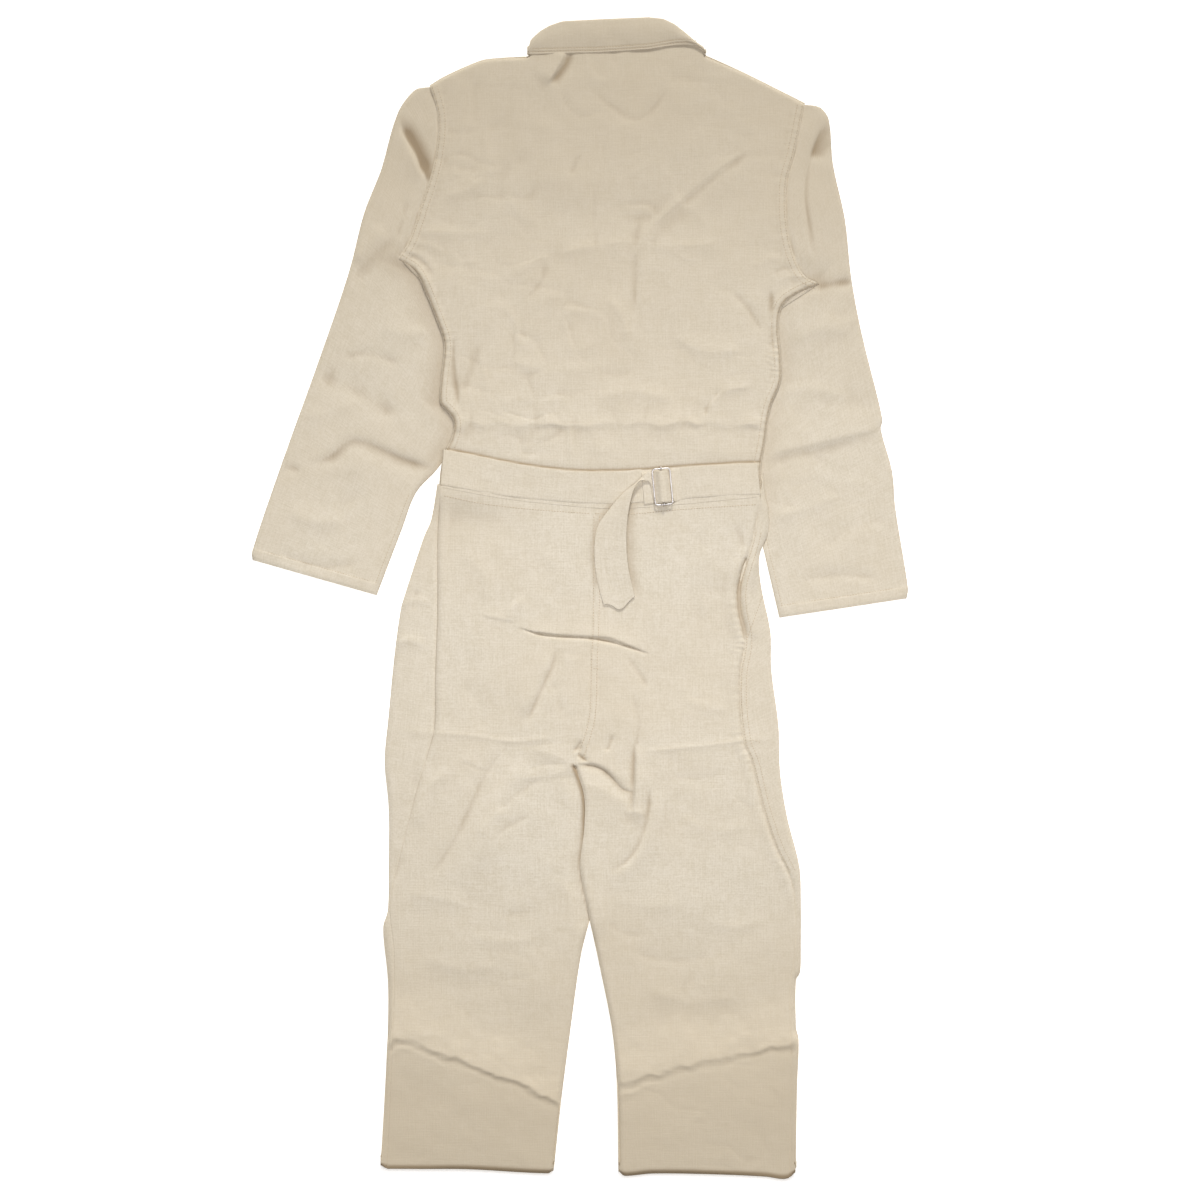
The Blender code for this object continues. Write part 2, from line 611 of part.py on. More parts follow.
def belts():
    lower, upper = along(BELT_LEFT_BOTTOM, 9), along(BELT_LEFT_TOP, 9)
    rows = [resting_row(low, high) for low, high in zip(lower, upper)]
    rows += [strap_row(distance, z) for distance, z in LOOP_PATH]
    radius = SLIDER_BAR + GAP
    for degrees in LOOP_ANGLES:
        angle = math.radians(degrees)
        rows.append(strap_row(radius * math.cos(angle), SLIDER_HEIGHT + radius * math.sin(angle)))
    rows += [strap_row(distance, z - WALL) for distance, z in LOOP_BACK]
    sheet("belt_left", rows, linen, out=False)
    lower, upper = along(BELT_RIGHT_BOTTOM, 6), along(BELT_RIGHT_TOP, 6)
    rows = [resting_row(low, high) for low, high in zip(lower, upper)]
    rows += [strap_row(distance, z) for distance, z in STRAP_PATH]
    for left_x, left_y, left_z, right_x, right_y, right_z in TAIL:
        left, right = (left_x, left_y, left_z), (right_x, right_y, right_z)
        rows.append([mix(right, left, part) for part in (0, 0.33, 0.67, 1)])
    tip = rows[-1]
    tip[1] = (*mix(tip[1][:2], TAIL_TIP, 0.7), tip[1][2])
    tip[2] = (*mix(tip[2][:2], TAIL_TIP, 0.5), tip[2][2])
    sheet("belt_right", rows, linen, out=True)


def wire(name, points, radius, closed):
    curve = bpy.data.curves.new(name, "CURVE")
    curve.dimensions = "3D"
    curve.bevel_depth = radius * MM
    curve.bevel_resolution = 2
    curve.use_fill_caps = not closed
    line = curve.splines.new("POLY")
    line.points.add(len(points) - 1)
    for point, place in zip(line.points, points):
        point.co = [value * MM for value in place] + [1.0]
    line.use_cyclic_u = closed
    add(name, curve, steel)


def slider():
    half_width, half_length = SLIDER_WIDTH / 2, SLIDER_LENGTH / 2
    corners = [(1, 1, 0), (-1, 1, 90), (-1, -1, 180), (1, -1, 270)]
    points = []
    for across, up, start in corners:
        for step in range(4):
            angle = math.radians(start + 30 * step)
            distance = across * (half_width - SLIDER_CORNER) + SLIDER_CORNER * math.cos(angle)
            height = up * (half_length - SLIDER_CORNER) + SLIDER_CORNER * math.sin(angle)
            points.append(slider_point(distance, height, SLIDER_HEIGHT))
    wire("slider_frame", points, SLIDER_WIRE, True)
    reach = half_length - SLIDER_WIRE - GAP
    ends = [slider_point(0, -reach, SLIDER_HEIGHT), slider_point(0, reach, SLIDER_HEIGHT)]
    wire("slider_bar", ends, SLIDER_BAR, False)


for stale in list(bpy.data.objects):
    bpy.data.objects.remove(stale)
garment = bpy.data.collections.new("jumpsuit")
bpy.context.scene.collection.children.link(garment)
cutters = bpy.data.collections.new("cutters")
bpy.context.scene.collection.children.link(cutters)
linen = material("linen", LINEN, 0.9, 0.0)
steel = material("steel", STEEL, 0.25, 1.0)

back_bodice()
front_bodices()
front_placket()
collar()
sleeve("sleeve_left", SLEEVE_LEFT_INNER, SLEEVE_LEFT_OUTER, TORSO_LEFT, ARMHOLE_LEFT, -1)
sleeve("sleeve_right", SLEEVE_RIGHT_INNER, SLEEVE_RIGHT_OUTER, TORSO_RIGHT, ARMHOLE_RIGHT, 1)
for leg_side in ("left", "right"):
    back_leg(leg_side)
    front_leg(leg_side)
    leg_fold(leg_side)
belts()
slider()
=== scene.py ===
"""The finished look of a linen jumpsuit laid flat on its front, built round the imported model.

Tables and shape functions work in millimetres in the model's frame: +Y points to the collar, +X to the
right of the laid garment and z = 0 is the surface it lies on. Meshes are stored in metres.
"""

import math
from collections import namedtuple

import bmesh
import bpy
import numpy as np
from mathutils import Matrix, Vector


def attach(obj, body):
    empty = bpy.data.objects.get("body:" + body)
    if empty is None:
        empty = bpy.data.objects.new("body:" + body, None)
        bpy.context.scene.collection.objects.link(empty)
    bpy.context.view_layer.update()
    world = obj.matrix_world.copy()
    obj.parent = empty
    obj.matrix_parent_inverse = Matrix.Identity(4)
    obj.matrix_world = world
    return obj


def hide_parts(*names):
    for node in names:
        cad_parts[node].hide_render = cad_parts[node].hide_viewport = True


bl_info = {
    "name": "Laid linen jumpsuit",
    "version": (1, 0, 0),
    "blender": (4, 5, 0),
    "location": "3D View > Sidebar > Jumpsuit",
    "description": "Builds the cloth, seams, belt and slider of a linen jumpsuit that lies on its front",
    "category": "Add Mesh",
}

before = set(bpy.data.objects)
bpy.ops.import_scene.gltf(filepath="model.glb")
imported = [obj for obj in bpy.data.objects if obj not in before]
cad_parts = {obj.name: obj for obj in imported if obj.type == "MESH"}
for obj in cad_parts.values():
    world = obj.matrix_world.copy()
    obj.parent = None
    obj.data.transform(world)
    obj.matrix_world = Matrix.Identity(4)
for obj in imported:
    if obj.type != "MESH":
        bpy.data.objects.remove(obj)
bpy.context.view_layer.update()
MM = 0.001

# ---------------------------------------------------------------- sizes and outlines, in millimetres

PLY = 1.0                  # one ply of linen
TUBE_TOP = 4.4             # upper side of two plies with the air between them
COVER_LIFT = 2.9           # the torso rises this much where a sleeve passes under its side
LEG_END_LIFT = 4.5         # the leg rises this much over its folded end
EDGE_ROUND = 6.0           # width over which cloth curves down to a side seam or fold
FORK = -206.0              # height of the crotch
SLEEVE_UNDER = 2.6         # upper side of a sleeve pressed flat under the torso
HOLLOW_DEPTH = 1.7         # depth below the cloth round it at which a hollow's painted shade is full
PLAN = (1.0, 1.0)          # the weave runs along the plan's own axes

TORSO_LEFT = [(-176, 139), (-174, 161), (-169, 182), (-160, 202), (-158, 222), (-168, 236), (-175, 244),
              (-174, 273), (-170, 318), (-180, 350), (-193, 382), (-206, 408), (-229, 422)]
TORSO_RIGHT = [(229, 127), (226, 164), (231, 194), (238, 238), (251, 272), (251, 304), (248, 338),
               (252, 364), (268, 378), (300, 392)]
ARMHOLE_LEFT = [(-229, 422), (-214, 446), (-200, 486), (-185, 533), (-178, 573), (-178, 606), (-188, 641)]
ARMHOLE_RIGHT = [(300, 392), (278, 406), (261, 452), (258, 516), (268, 556), (281, 619)]
SHOULDER_LEFT = [(-188, 641), (-170, 652), (-135, 668), (-116, 674), (-66, 677)]
SHOULDER_RIGHT = [(158, 678), (205, 657), (281, 619)]
BACK_NECK = [(-66, 677), (-40, 688), (5, 695), (50, 698), (100, 699), (136, 695), (152, 686), (158, 678)]
FRONT_NECK_LEFT = [(-66, 677), (6, 642), (17, 634)]
FRONT_NECK_RIGHT = [(73, 597), (119, 654), (158, 678)]
WAIST = [(-178, 139), (-94, 124), (12, 113), (58, 112), (125, 117), (231, 127)]
ARMPIT_SHARE = 0.54        # share of a torso side that lies below its armhole
PLACKET = (17.0, 73.0)     # the covered fly's two sides
PLACKET_TOP = (633.0, 597.0)      # its ends at the neckline, on the left and on the right
PLACKET_LOW = -100.0
NECK_TOP = {"left": 634.0, "right": 597.0}        # where each half front meets the neckline
ARMPIT_LEVEL = 400.0
NECK_MIDDLE = 46.0
WAIST_ENDS = (-176.0, 229.0)
FLY = [(17, -100), (60, 0), (73, 112)]

SLEEVE_LEFT_OUTER = [(-409, 48), (-410, 58), (-369, 179), (-330, 287), (-289, 407), (-270, 481), (-255, 519),
                     (-248, 537), (-228, 606), (-208, 634), (-184, 647)]
SLEEVE_LEFT_INNER = [(-254, 4), (-222, 88), (-205, 132), (-178, 162), (-162, 188), (-150, 217),
                     (-148, 273), (-152, 310), (-168, 352), (-196, 404)]
SLEEVE_RIGHT_OUTER = [(408, 0), (410, 12), (394, 113), (390, 159), (376, 211), (378, 224), (352, 331),
                      (339, 400), (331, 474), (316, 543), (311, 598), (301, 613), (279, 625)]
SLEEVE_RIGHT_INNER = [(249, -24), (230, 58), (221, 98), (218, 148), (220, 211), (230, 262), (234, 300),
                      (238, 338), (250, 380)]
# Heights from which, over which, to which and beyond which a sleeve lies under the torso's side
COVER_LEFT = (95.0, 135.0, 394.0, 428.0)
COVER_RIGHT = (5.0, 45.0, 364.0, 398.0)
COVER_FALL = (32.0, 112.0)        # distances from the side between which the lifted torso comes down
SLEEVE_TUCK = 7.0          # a sleeve's head runs this far under the armhole seam
CUFF_STITCH = 15.0         # distance of the cuff's stitch row from its edge

LEG_OUTER_LEFT = [(-178, 143), (-186, 98), (-195, 77), (-219, 4), (-224, -14), (-232, -73), (-239, -146),
                  (-244, -203), (-239, -261), (-239, -332), (-240, -389), (-246, -411), (-240, -477),
                  (-240, -536), (-243, -608), (-249, -712)]
LEG_OUTER_RIGHT = [(229, 156), (231, 129), (235, 111), (235, 83), (224, 53), (226, 17), (238, -42),
                   (239, -89), (248, -159), (250, -217), (259, -274), (274, -334), (276, -375), (276, -432),
                   (275, -467), (270, -476), (270, -536), (273, -550), (271, -608), (269, -721)]
LEG_SEAM_LEFT = [(-174, 141), (-178, 73), (-178, -14), (-181, -104), (-182, -162), (-191, -197), (-204, -239),
                 (-222, -310), (-234, -361), (-237, -392), (-232, -440), (-233, -536), (-241, -712)]
LEG_SEAM_RIGHT = [(225, 127), (216, 77), (199, 17), (199, -14), (206, -52), (200, -89), (199, -126),
                  (205, -181), (214, -203), (228, -261), (245, -312), (262, -347), (268, -375), (268, -440),
                  (262, -480), (262, -540), (263, -608), (261, -723.5)]
CENTRE_SEAM = [(15, 113), (15, 28), (14, -38), (12, -81), (9, -150), (-8, FORK)]
SLIT = [(-8, FORK), (5, -246), (5, -289), (0, -332), (4, -363), (12, -402)]
LEG_INNER_LEFT = [(12, -402), (1, -447), (-12, -539), (-24, -632), (-33, -718)]
LEG_INNER_RIGHT = [(12, -402), (25, -462), (40, -539), (46, -606), (48, -719)]
LEG_BOTTOM_LEFT = [(-33, -718), (-65, -717), (-140, -713), (-200, -713), (-249, -713)]
LEG_BOTTOM_RIGHT = [(48, -719), (58, -721), (91, -718), (165, -719), (232, -722), (254, -725), (269, -721)]
CROTCH_X = 15.0            # the legs' waist corner at the centre seam
LEG_SHARES = (0.37, 0.22, 0.41)   # centre seam, slit and inner edge as shares of a leg's inner outline
HEM_REACH = {"left": (75.0, 163.0), "right": (106.0, 162.0)}   # turned-under length inside, outside
FOLD_SHARE = 0.84          # share of a back leg's length that lies above the bottom fold
TURN_SHARE = 0.12          # share of the rest that goes round the fold
STRIP_SHARE = 0.25         # share of a front leg's columns on the strip that shows beside the seam
BOTTOM_CURVE = 7.5         # width over which a leg's upper side curves down to its bottom fold

RIDGE_LEFT = [(-246, -559), (-225, -549), (-192, -557), (-152, -574), (-102, -592), (-76, -603), (-45, -621),
              (-21, -633)]
RIDGE_RIGHT = [(45, -607), (80, -597), (122, -582), (169, -577), (205, -566), (272, -554)]

# Creases: height (below 0 is a trough), reach to the left and right of the way it runs, and its points.
# Crisp is 2 for a soft round fold and nearer 1 for a sharp one.
Crease = namedtuple("Crease", "height left right points crisp", defaults=(2.0,))
BODICE_CREASES = [
    Crease(1.9, 5, 8, [(224, 570), (176, 538), (128, 499), (78, 453)], 1.3),
    Crease(-1.5, 5, 14, [(214, 560), (170, 527), (120, 486)], 1.5),
    Crease(1.0, 5, 7, [(92, 470), (80, 446), (62, 424)], 1.3),
    Crease(-2.0, 3, 7, [(237, 392), (240, 372), (240.5, 350), (241, 330), (243, 300)], 1.4),
    Crease(-1.2, 4, 5, [(190, 384), (212, 360), (230, 328)], 1.4),
    Crease(-0.9, 4, 6, [(1, 556), (-12, 526)], 1.3),
    Crease(-1.4, 9, 12, [(-112, 344), (-132, 296), (-153, 246)], 1.6),
    Crease(-2.2, 3, 6, [(-157, 334), (-158, 300), (-154, 262), (-150, 232)], 1.3),
    Crease(1.5, 9, 3, [(160, 222), (163, 238), (180, 258), (218, 264)], 1.3),
    Crease(-1.6, 4, 3, [(157, 226), (159, 240), (176, 262)], 1.3),
    Crease(-1.1, 4, 6, [(75, 481), (71, 436), (68, 348)], 1.3),
    Crease(1.0, 7, 6, [(80, 472), (78, 430), (74, 350)], 1.6),
    Crease(-0.6, 3, 3, [(16, 523), (19, 473), (20, 421)], 1.3),
    Crease(-0.7, 3, 6, [(6, 642), (38, 616), (72, 598), (100, 623), (119, 654)], 1.4),
    Crease(1.2, 6, 9, [(-204, 459), (-162, 457), (-108, 456)], 1.4),
    Crease(-0.7, 9, 9, [(-128, 660), (-132, 629), (-130, 586)], 1.7),
    Crease(-0.6, 14, 9, [(100, 660), (150, 640), (200, 612)], 1.7),
    Crease(2.4, 1.5, 16, [(-17, 686), (-20, 678), (-25, 667), (-42, 639)], 1.3),
    Crease(-2.0, 6, 2, [(-12, 684), (-15, 674), (-21, 662), (-38, 641)], 1.5),
    Crease(1.1, 10, 6, [(-96, 300), (-40, 284), (40, 291)], 1.4),
    Crease(-0.9, 12, 10, [(-60, 560), (-90, 530), (-104, 490)]),
    Crease(1.2, 7, 10, [(-30, 430), (20, 440), (70, 446)], 1.4),
    Crease(1.1, 5, 8, [(88, 446), (130, 440), (176, 444)], 1.4),
    Crease(0.9, 5, 5, [(-84, 400), (-60, 420), (-34, 428)], 1.3),
    Crease(-1.0, 4, 6, [(-70, 372), (-48, 396), (-44, 420)], 1.3),
    Crease(1.0, 6, 4, [(30, 380), (52, 352), (60, 318)], 1.3),
    Crease(1.2, 9, 5, [(110, 330), (150, 310), (206, 308)], 1.5),
    Crease(-0.8, 8, 8, [(-190, 560), (-160, 540), (-120, 536)], 1.6),
    Crease(1.1, 7, 7, [(-176, 500), (-140, 510), (-96, 540)], 1.5),
    Crease(-0.5, 6, 6, [(40, 590), (30, 560), (34, 530)], 1.4),
    Crease(1.0, 8, 8, [(-110, 240), (-60, 250), (-20, 244)], 1.4),
    Crease(1.1, 8, 6, [(20, 250), (70, 258), (120, 246)], 1.4),
    Crease(0.8, 4, 3, [(-226, 436), (-200, 428), (-176, 404)], 1.2),
    Crease(0.7, 3, 3, [(-214, 446), (-190, 442), (-168, 430)], 1.2),
    Crease(-0.9, 3, 3, [(-216, 430), (-196, 420), (-180, 400)], 1.2),
    Crease(0.8, 3, 4, [(-206, 412), (-190, 396), (-180, 374)], 1.2),
    Crease(0.8, 4, 3, [(290, 400), (262, 402), (238, 392)], 1.2),
    Crease(-0.9, 3, 4, [(280, 408), (256, 412), (236, 404)], 1.2),
    Crease(0.9, 4, 4, [(252, 424), (236, 424), (216, 412)], 1.4),
]
WAIST_FOLD = [(-160, 217), (-136, 221), (-108, 219), (-56, 217.5), (-8, 216.5), (46, 219), (82, 219.5),
              (130, 220), (157, 219), (192, 218), (228, 216)]
SLEEVE_CREASES = {
    "left": [
        Crease(-2.3, 4, 12, [(-350, 166), (-312, 176), (-291, 193), (-279, 196), (-256, 189), (-214, 171),
                             (-166, 160)], 1.5),
        Crease(-1.5, 12, 14, [(-338, 285), (-283, 262), (-240, 236), (-212, 230)], 1.8),
        Crease(-1.3, 4, 8, [(-384, 150), (-366, 164), (-346, 158)], 1.4),
        Crease(-1.0, 7, 12, [(-292, 396), (-270, 413), (-249, 437), (-222, 456)], 1.4),
        Crease(1.8, 12, 8, [(-286, 420), (-262, 440), (-240, 462)], 1.6),
        Crease(-2.6, 12, 2.5, [(-226, 594), (-213, 570), (-202, 548), (-193, 524)], 1.4),
        Crease(1.4, 3, 14, [(-228, 588), (-216, 564), (-205, 542), (-198, 518)], 1.4),
        Crease(-1.4, 4, 6, [(-212, 500), (-222, 470), (-228, 446)], 1.4),
        Crease(1.6, 12, 8, [(-366, 110), (-330, 95), (-290, 98)], 1.5),
        Crease(-1.0, 16, 10, [(-330, 60), (-300, 110), (-262, 148)], 1.6),
        Crease(0.7, 8, 6, [(-352, 226), (-310, 232), (-268, 252)], 1.4),
        Crease(-1.2, 6, 6, [(-300, 300), (-262, 306), (-220, 290)], 1.4),
        Crease(1.3, 8, 8, [(-250, 340), (-216, 330), (-186, 336)], 1.4),
        Crease(-1.0, 6, 8, [(-380, 60), (-330, 40), (-270, 44)], 1.6),
    ],
    "right": [
        Crease(-1.7, 5, 3, [(306, 612), (298, 576), (288, 549), (282, 506), (286, 467), (294, 421),
                            (300, 396)], 1.3),
        Crease(0.8, 10, 8, [(318, 560), (306, 510), (310, 450)], 1.6),
        Crease(2.0, 20, 4.0, [(222, 178), (275, 189), (325, 201), (390, 216)], 1.3),
        Crease(-1.0, 6, 14, [(226, 168), (285, 180), (350, 196)], 1.6),
        Crease(-1.0, 14, 12, [(290, 250), (340, 246), (384, 240)], 1.8),
        Crease(-3.0, 14, 4, [(312, 594), (300, 570), (288, 548)], 1.5),
        Crease(-2.6, 4, 6, [(292, 388), (319, 394), (345, 397)], 1.3),
        Crease(1.6, 10, 7, [(262, 320), (300, 336), (345, 332)], 1.5),
        Crease(1.2, 6, 7, [(300, 352), (326, 344), (352, 350)], 1.3),
        Crease(-0.9, 10, 8, [(300, 60), (340, 90), (390, 100)], 1.6),
        Crease(1.4, 8, 8, [(232, 252), (280, 262), (340, 250)], 1.5),
        Crease(1.1, 6, 7, [(236, 100), (280, 112), (330, 130)], 1.5),
        Crease(-1.0, 8, 6, [(270, 20), (320, 30), (380, 24)], 1.6),
    ],
}
LEG_CREASES = [
    Crease(1.7, 12, 1.2, [(-88, -31), (-62, -40), (-44, -43), (-12, -46), (14, -47), (35, -48), (56, -56),
                          (78, -65), (98, -71)], 1.3),
    Crease(-2.4, 1.4, 1.4, [(-80, -36), (-44, -46), (14, -50), (56, -59), (92, -72)], 1.3),
    Crease(0.9, 7, 1.6, [(-124, -20), (-100, -25), (-80, -29)], 1.3),
    Crease(1.2, 2.5, 8, [(-90, -30), (-86, -12), (-66, 2)], 1.3),
    Crease(-1.7, 5, 5, [(-29, -58), (-36, -87), (-44, -104), (-56, -131), (-68, -160)], 1.3),
    Crease(1.4, 4, 12, [(-33, -62), (-42, -90), (-56, -118), (-74, -152)], 1.5),
    Crease(-0.8, 5, 6, [(-34, -102), (-29, -121), (-20, -146)], 1.4),
    Crease(-1.1, 3, 4, [(60, -72), (71, -88), (87, -112)], 1.3),
    Crease(-1.3, 5, 7, [(66, -116), (74, -154), (71, -179), (69, -196)], 1.4),
    Crease(0.8, 3.5, 3, [(-243, -159), (-212, -166), (-184, -168), (-138, -171), (-91, -178), (-69, -178),
                         (-18, -170)], 1.2),
    Crease(-1.2, 8, 4, [(-89, -182), (-114, -212), (-138, -261), (-160, -306), (-194, -356)], 1.3),
    Crease(1.5, 18, 10, [(-64, -200), (-94, -240), (-116, -300), (-134, -350)], 1.7),
    Crease(-0.8, 5, 6, [(-26, -214), (-70, -238), (-106, -268)], 1.4),
    Crease(0.8, 4, 6, [(-92, -262), (-118, -284), (-124, -300)], 1.2),
    Crease(-0.7, 4, 4, [(-60, -270), (-96, -288), (-112, -312)], 1.3),
    Crease(0.9, 3.5, 3.5, [(69, -190), (94, -190), (120, -187), (161, -183), (205, -178), (252, -173)], 1.2),
    Crease(1.9, 15, 2.2, [(72, -180), (71, -214), (69.5, -246), (67, -290)], 1.4),
    Crease(-1.8, 1.8, 5, [(68, -178), (67, -212), (65.5, -246), (64, -268)], 1.4),
    Crease(1.6, 8, 9, [(96, -236), (94, -266), (87, -294), (76, -320), (56, -342), (36, -350)], 1.4),
    Crease(-2.2, 2.5, 4, [(87, -233), (86, -263), (80, -289), (70, -313), (52, -333), (34, -341)], 1.3),
    Crease(-2.4, 1.6, 6, [(-9, -208), (13, -208.6), (28.5, -213.8), (41.5, -225.5), (54.5, -238.5),
                           (72, -243)], 1.3),
    Crease(1.0, 10, 2.5, [(-4, -202), (14, -203), (32, -210), (46, -222), (60, -235)], 1.5),
    Crease(0.8, 4, 14, [(-2, -230), (24, -236), (44, -248), (68, -258)], 1.6),
    Crease(-1.4, 6, 6, [(-2, -182), (3, -194), (4, -206)], 1.6),
    Crease(-1.8, 2, 2, [(-8, -192), (2, -178)], 1.2),
    Crease(-1.6, 2, 2, [(-4, -194), (10, -204)], 1.2),
    Crease(-1.6, 3, 4, [(42, -170), (33, -192)], 1.3),
    Crease(0.6, 5, 5, [(-12, -206), (-30, -196), (-64, -188)], 1.3),
    Crease(0.7, 4, 7, [(-12, -212), (-40, -222), (-80, -224)], 1.3),
    Crease(-0.7, 3, 5, [(-14, -208), (-44, -208), (-70, -214)], 1.3),
    Crease(1.2, 4, 4, [(56, -268), (70, -266), (82, -272)], 1.2),
    Crease(0.8, 8, 8, [(-219, -367), (-175, -374), (-138, -384)], 1.3),
    Crease(-0.4, 7, 9, [(-100, -399), (-75, -394), (-44, -403)], 1.4),
    Crease(-0.5, 12, 16, [(72, -506), (138, -527), (218, -512)], 1.6),
    Crease(0.7, 10, 6, [(80, -488), (140, -505), (200, -496)], 1.4),
    Crease(-0.4, 14, 10, [(-214, -468), (-150, -486), (-66, -478)], 1.6),
    Crease(0.6, 9, 6, [(-200, -446), (-150, -462), (-96, -458)], 1.4),
    Crease(0.6, 8, 7, [(40, -372), (86, -386), (130, -380)], 1.3),
    Crease(0.6, 6, 6, [(150, -400), (190, -410), (236, -402)], 1.3),
    Crease(-0.6, 6, 7, [(60, -440), (110, -452), (170, -446)], 1.4),
    Crease(-1.3, 4, 4, [(-202, 13), (-206, 1), (-212, -16)], 1.3),
    Crease(-1.1, 8, 8, [(190, 94), (200, 78), (208, 58)], 1.4),
    Crease(-0.7, 12, 10, [(-150, -100), (-120, -140), (-128, -168)], 1.6),
    Crease(0.8, 8, 7, [(168, 76), (150, 30), (156, -30)], 1.5),
    Crease(0.7, 9, 7, [(-150, 60), (-120, 30), (-118, -10)], 1.5),
    Crease(0.6, 7, 7, [(-70, 70), (-30, 40), (-26, 0)], 1.5),
    Crease(0.7, 7, 6, [(120, -100), (140, -130), (190, -140)], 1.4),
    Crease(-0.7, 6, 8, [(110, -220), (150, -226), (190, -214)], 1.4),
    Crease(1.3, 7, 7, [(-160, -210), (-190, -240), (-206, -290)], 1.4),
    Crease(0.7, 7, 7, [(120, -270), (170, -290), (220, -280)], 1.4),
    Crease(-0.6, 6, 6, [(30, -400), (60, -420), (84, -418)], 1.3),
    Crease(0.6, 6, 6, [(-140, -420), (-100, -428), (-50, -424)], 1.3),
]
LEG_STRIP_CREASES = [
    Crease(-1.6, 8, 6, [(-236, -380), (-222, -300), (-206, -236), (-200, -190)]),
    Crease(1.4, 5, 5, [(-238, -60), (-214, -52), (-190, -60)], 1.3),
    Crease(1.2, 4, 4, [(-226, -10), (-204, -2), (-186, -8)], 1.3),
]
POCKET_OPENING = (-54.0, -40.0, 40.0, 56.0)   # heights where the pocket's slit starts, is open, and ends
UNDER_CREASES = [
    Crease(1.6, 14, 6, [(-190, 300), (-90, 286), (10, 296), (120, 284), (230, 300)]),
    Crease(1.2, 8, 12, [(-140, 560), (-100, 480), (-96, 400)]),
    Crease(1.4, 9, 7, [(210, 560), (160, 500), (150, 420)]),
    Crease(1.6, 12, 6, [(-230, -150), (-120, -166), (-20, -158)]),
    Crease(1.6, 8, 12, [(40, -160), (150, -176), (245, -160)]),
    Crease(1.2, 10, 10, [(-180, -260), (-120, -330), (-60, -380)]),
    Crease(1.2, 10, 8, [(210, -250), (150, -330), (90, -360)]),
    Crease(1.2, 12, 9, [(-330, 260), (-270, 240), (-220, 246)]),
    Crease(1.2, 9, 12, [(260, 240), (310, 262), (350, 258)]),
]

# Belt rows on the garment: the plan points of the lower edge and the upper edge
BeltRow = namedtuple("BeltRow", "low_x low_y high_x high_y low_z high_z")
BELT_LEFT_ROWS = [(-174, 142, -170, 186), (-141, 136, -137, 180), (-100, 129, -95, 171), (-58, 124, -54, 164),
                  (-12, 120, -9, 159), (30, 118.5, 32, 158.5), (60, 119, 58, 159.5), (80, 120, 76, 161)]
BELT_RIGHT_ROWS = [(225, 129.5, 221, 169), (200, 129, 198, 168.5), (169, 127.5, 168, 166.5),
                   (132, 124.5, 128, 164)]
SLIDER_CENTRE = (103.0, 139.5)
SLIDER_TILT = math.radians(5.5)
SLIDER_HEIGHT = 10.75
BELT_HALF = 19.6           # half the belt's width at the slider
FIRM_PLY = 1.2             # the doubled cloth of the belt and the fly
RING_RADIUS = 2.1          # the rings of wire that hold the centre bar's ends on the frame
BAR_LOOP = 1.4             # radius of the left belt's loop round the slider's frame
# The belt at the slider: distance along the belt from the slider's middle, height of the belt's upper side
LOOP_PATH = [(-17, 6.1), (-9, 6.2), (-4, 8.6)]
LOOP_BACK = [(-4, 11.8), (-8.6, 8.4), (-11, 7.8), (-17, 7.6), (-25, 7.9)]
STRAP_PATH = [(19, 6.9), (12.5, 8.6), (9.6, 9.2), (6.5, 11.6), (3, 13.9), (0, 14.5), (-3, 13.9), (-6.5, 11.4),
              (-9.6, 9.4), (-12.5, 9.3)]
# The free tail, from the slider to its end
TAIL = [BeltRow(88, 143, 86, 158, 9.6, 10.0), BeltRow(82, 147, 79, 153, 11.4, 11.4),
        BeltRow(74, 146, 70, 145, 14.6, 11.6), BeltRow(66, 133, 52, 130, 15.4, 10.4),
        BeltRow(60, 106, 33, 107, 14.2, 9.0), BeltRow(58, 85, 22, 90, 12.2, 8.2),
        BeltRow(58, 62, 18, 66, 10.8, 7.8), BeltRow(60, 40, 18.5, 44, 9.8, 7.6),
        BeltRow(64, 20, 22, 20, 9.0, 7.6), BeltRow(68.5, 3, 29.5, -8, 8.4, 7.8)]

# Collar: rows of x, plan height of the leaf's lower edge and plan height of the roll
COLLAR_LOW_Z = 3.7         # height of the middle between the collar's two sides
COLLAR_ROLL = 1.5          # radius of the roll
COLLAR_BACK = [(-66, 679, 690), (-60, 679, 699), (-50, 679, 708), (-38, 679.5, 715), (-22, 680, 720.5),
               (25, 681, 723), (86, 685, 725.5), (104, 688, 723.5), (118, 690, 717), (132, 691, 706),
               (146, 689, 694), (158, 681, 686)]
COLLAR_FRONT_LEFT = [(16, 570, 656), (6, 590, 664), (-30, 632, 686), (-66, 679, 690)]
COLLAR_FRONT_RIGHT = [(158, 681, 686), (119, 625, 676), (84, 560, 644), (74, 535, 634)]
COLLAR_ENDS = (-66.0, 158.0)

# Floor, in metres
FLOOR_HALF = 6.0
FLOOR_DROP = 0.0006               # below the garment's lowest cloth

# Stitching
SEAM_STITCHES = (2.6, 8.8)        # distances of a seam's two stitch rows from the seam
TACKS = [[(214, -176), (226, -180)], [(228, 4), (216, -30), (209, -50)], [(16, -87), (24, -88)]]
WAIST_STITCHES_LEFT = [(-170, 128), (-120, 118), (-58, 111), (12, 106)]
WAIST_STITCHES_RIGHT = [(18, 106), (58, 105), (125, 111), (220, 117)]
COLLAR_STITCHES = (3.0, 6.4)      # distances of the leaf's two stitch rows from its edge

# Flat cuts: width, length and the share of that rectangle which is cloth
Cut = namedtuple("Cut", "width length share held")

# ---------------------------------------------------------------- lines, noise and relief


def smooth(low, high, value):
    """0 below low, 1 above high, smooth between."""
    part = np.clip((value - low) / (high - low), 0.0, 1.0)
    return part * part * (3 - 2 * part)


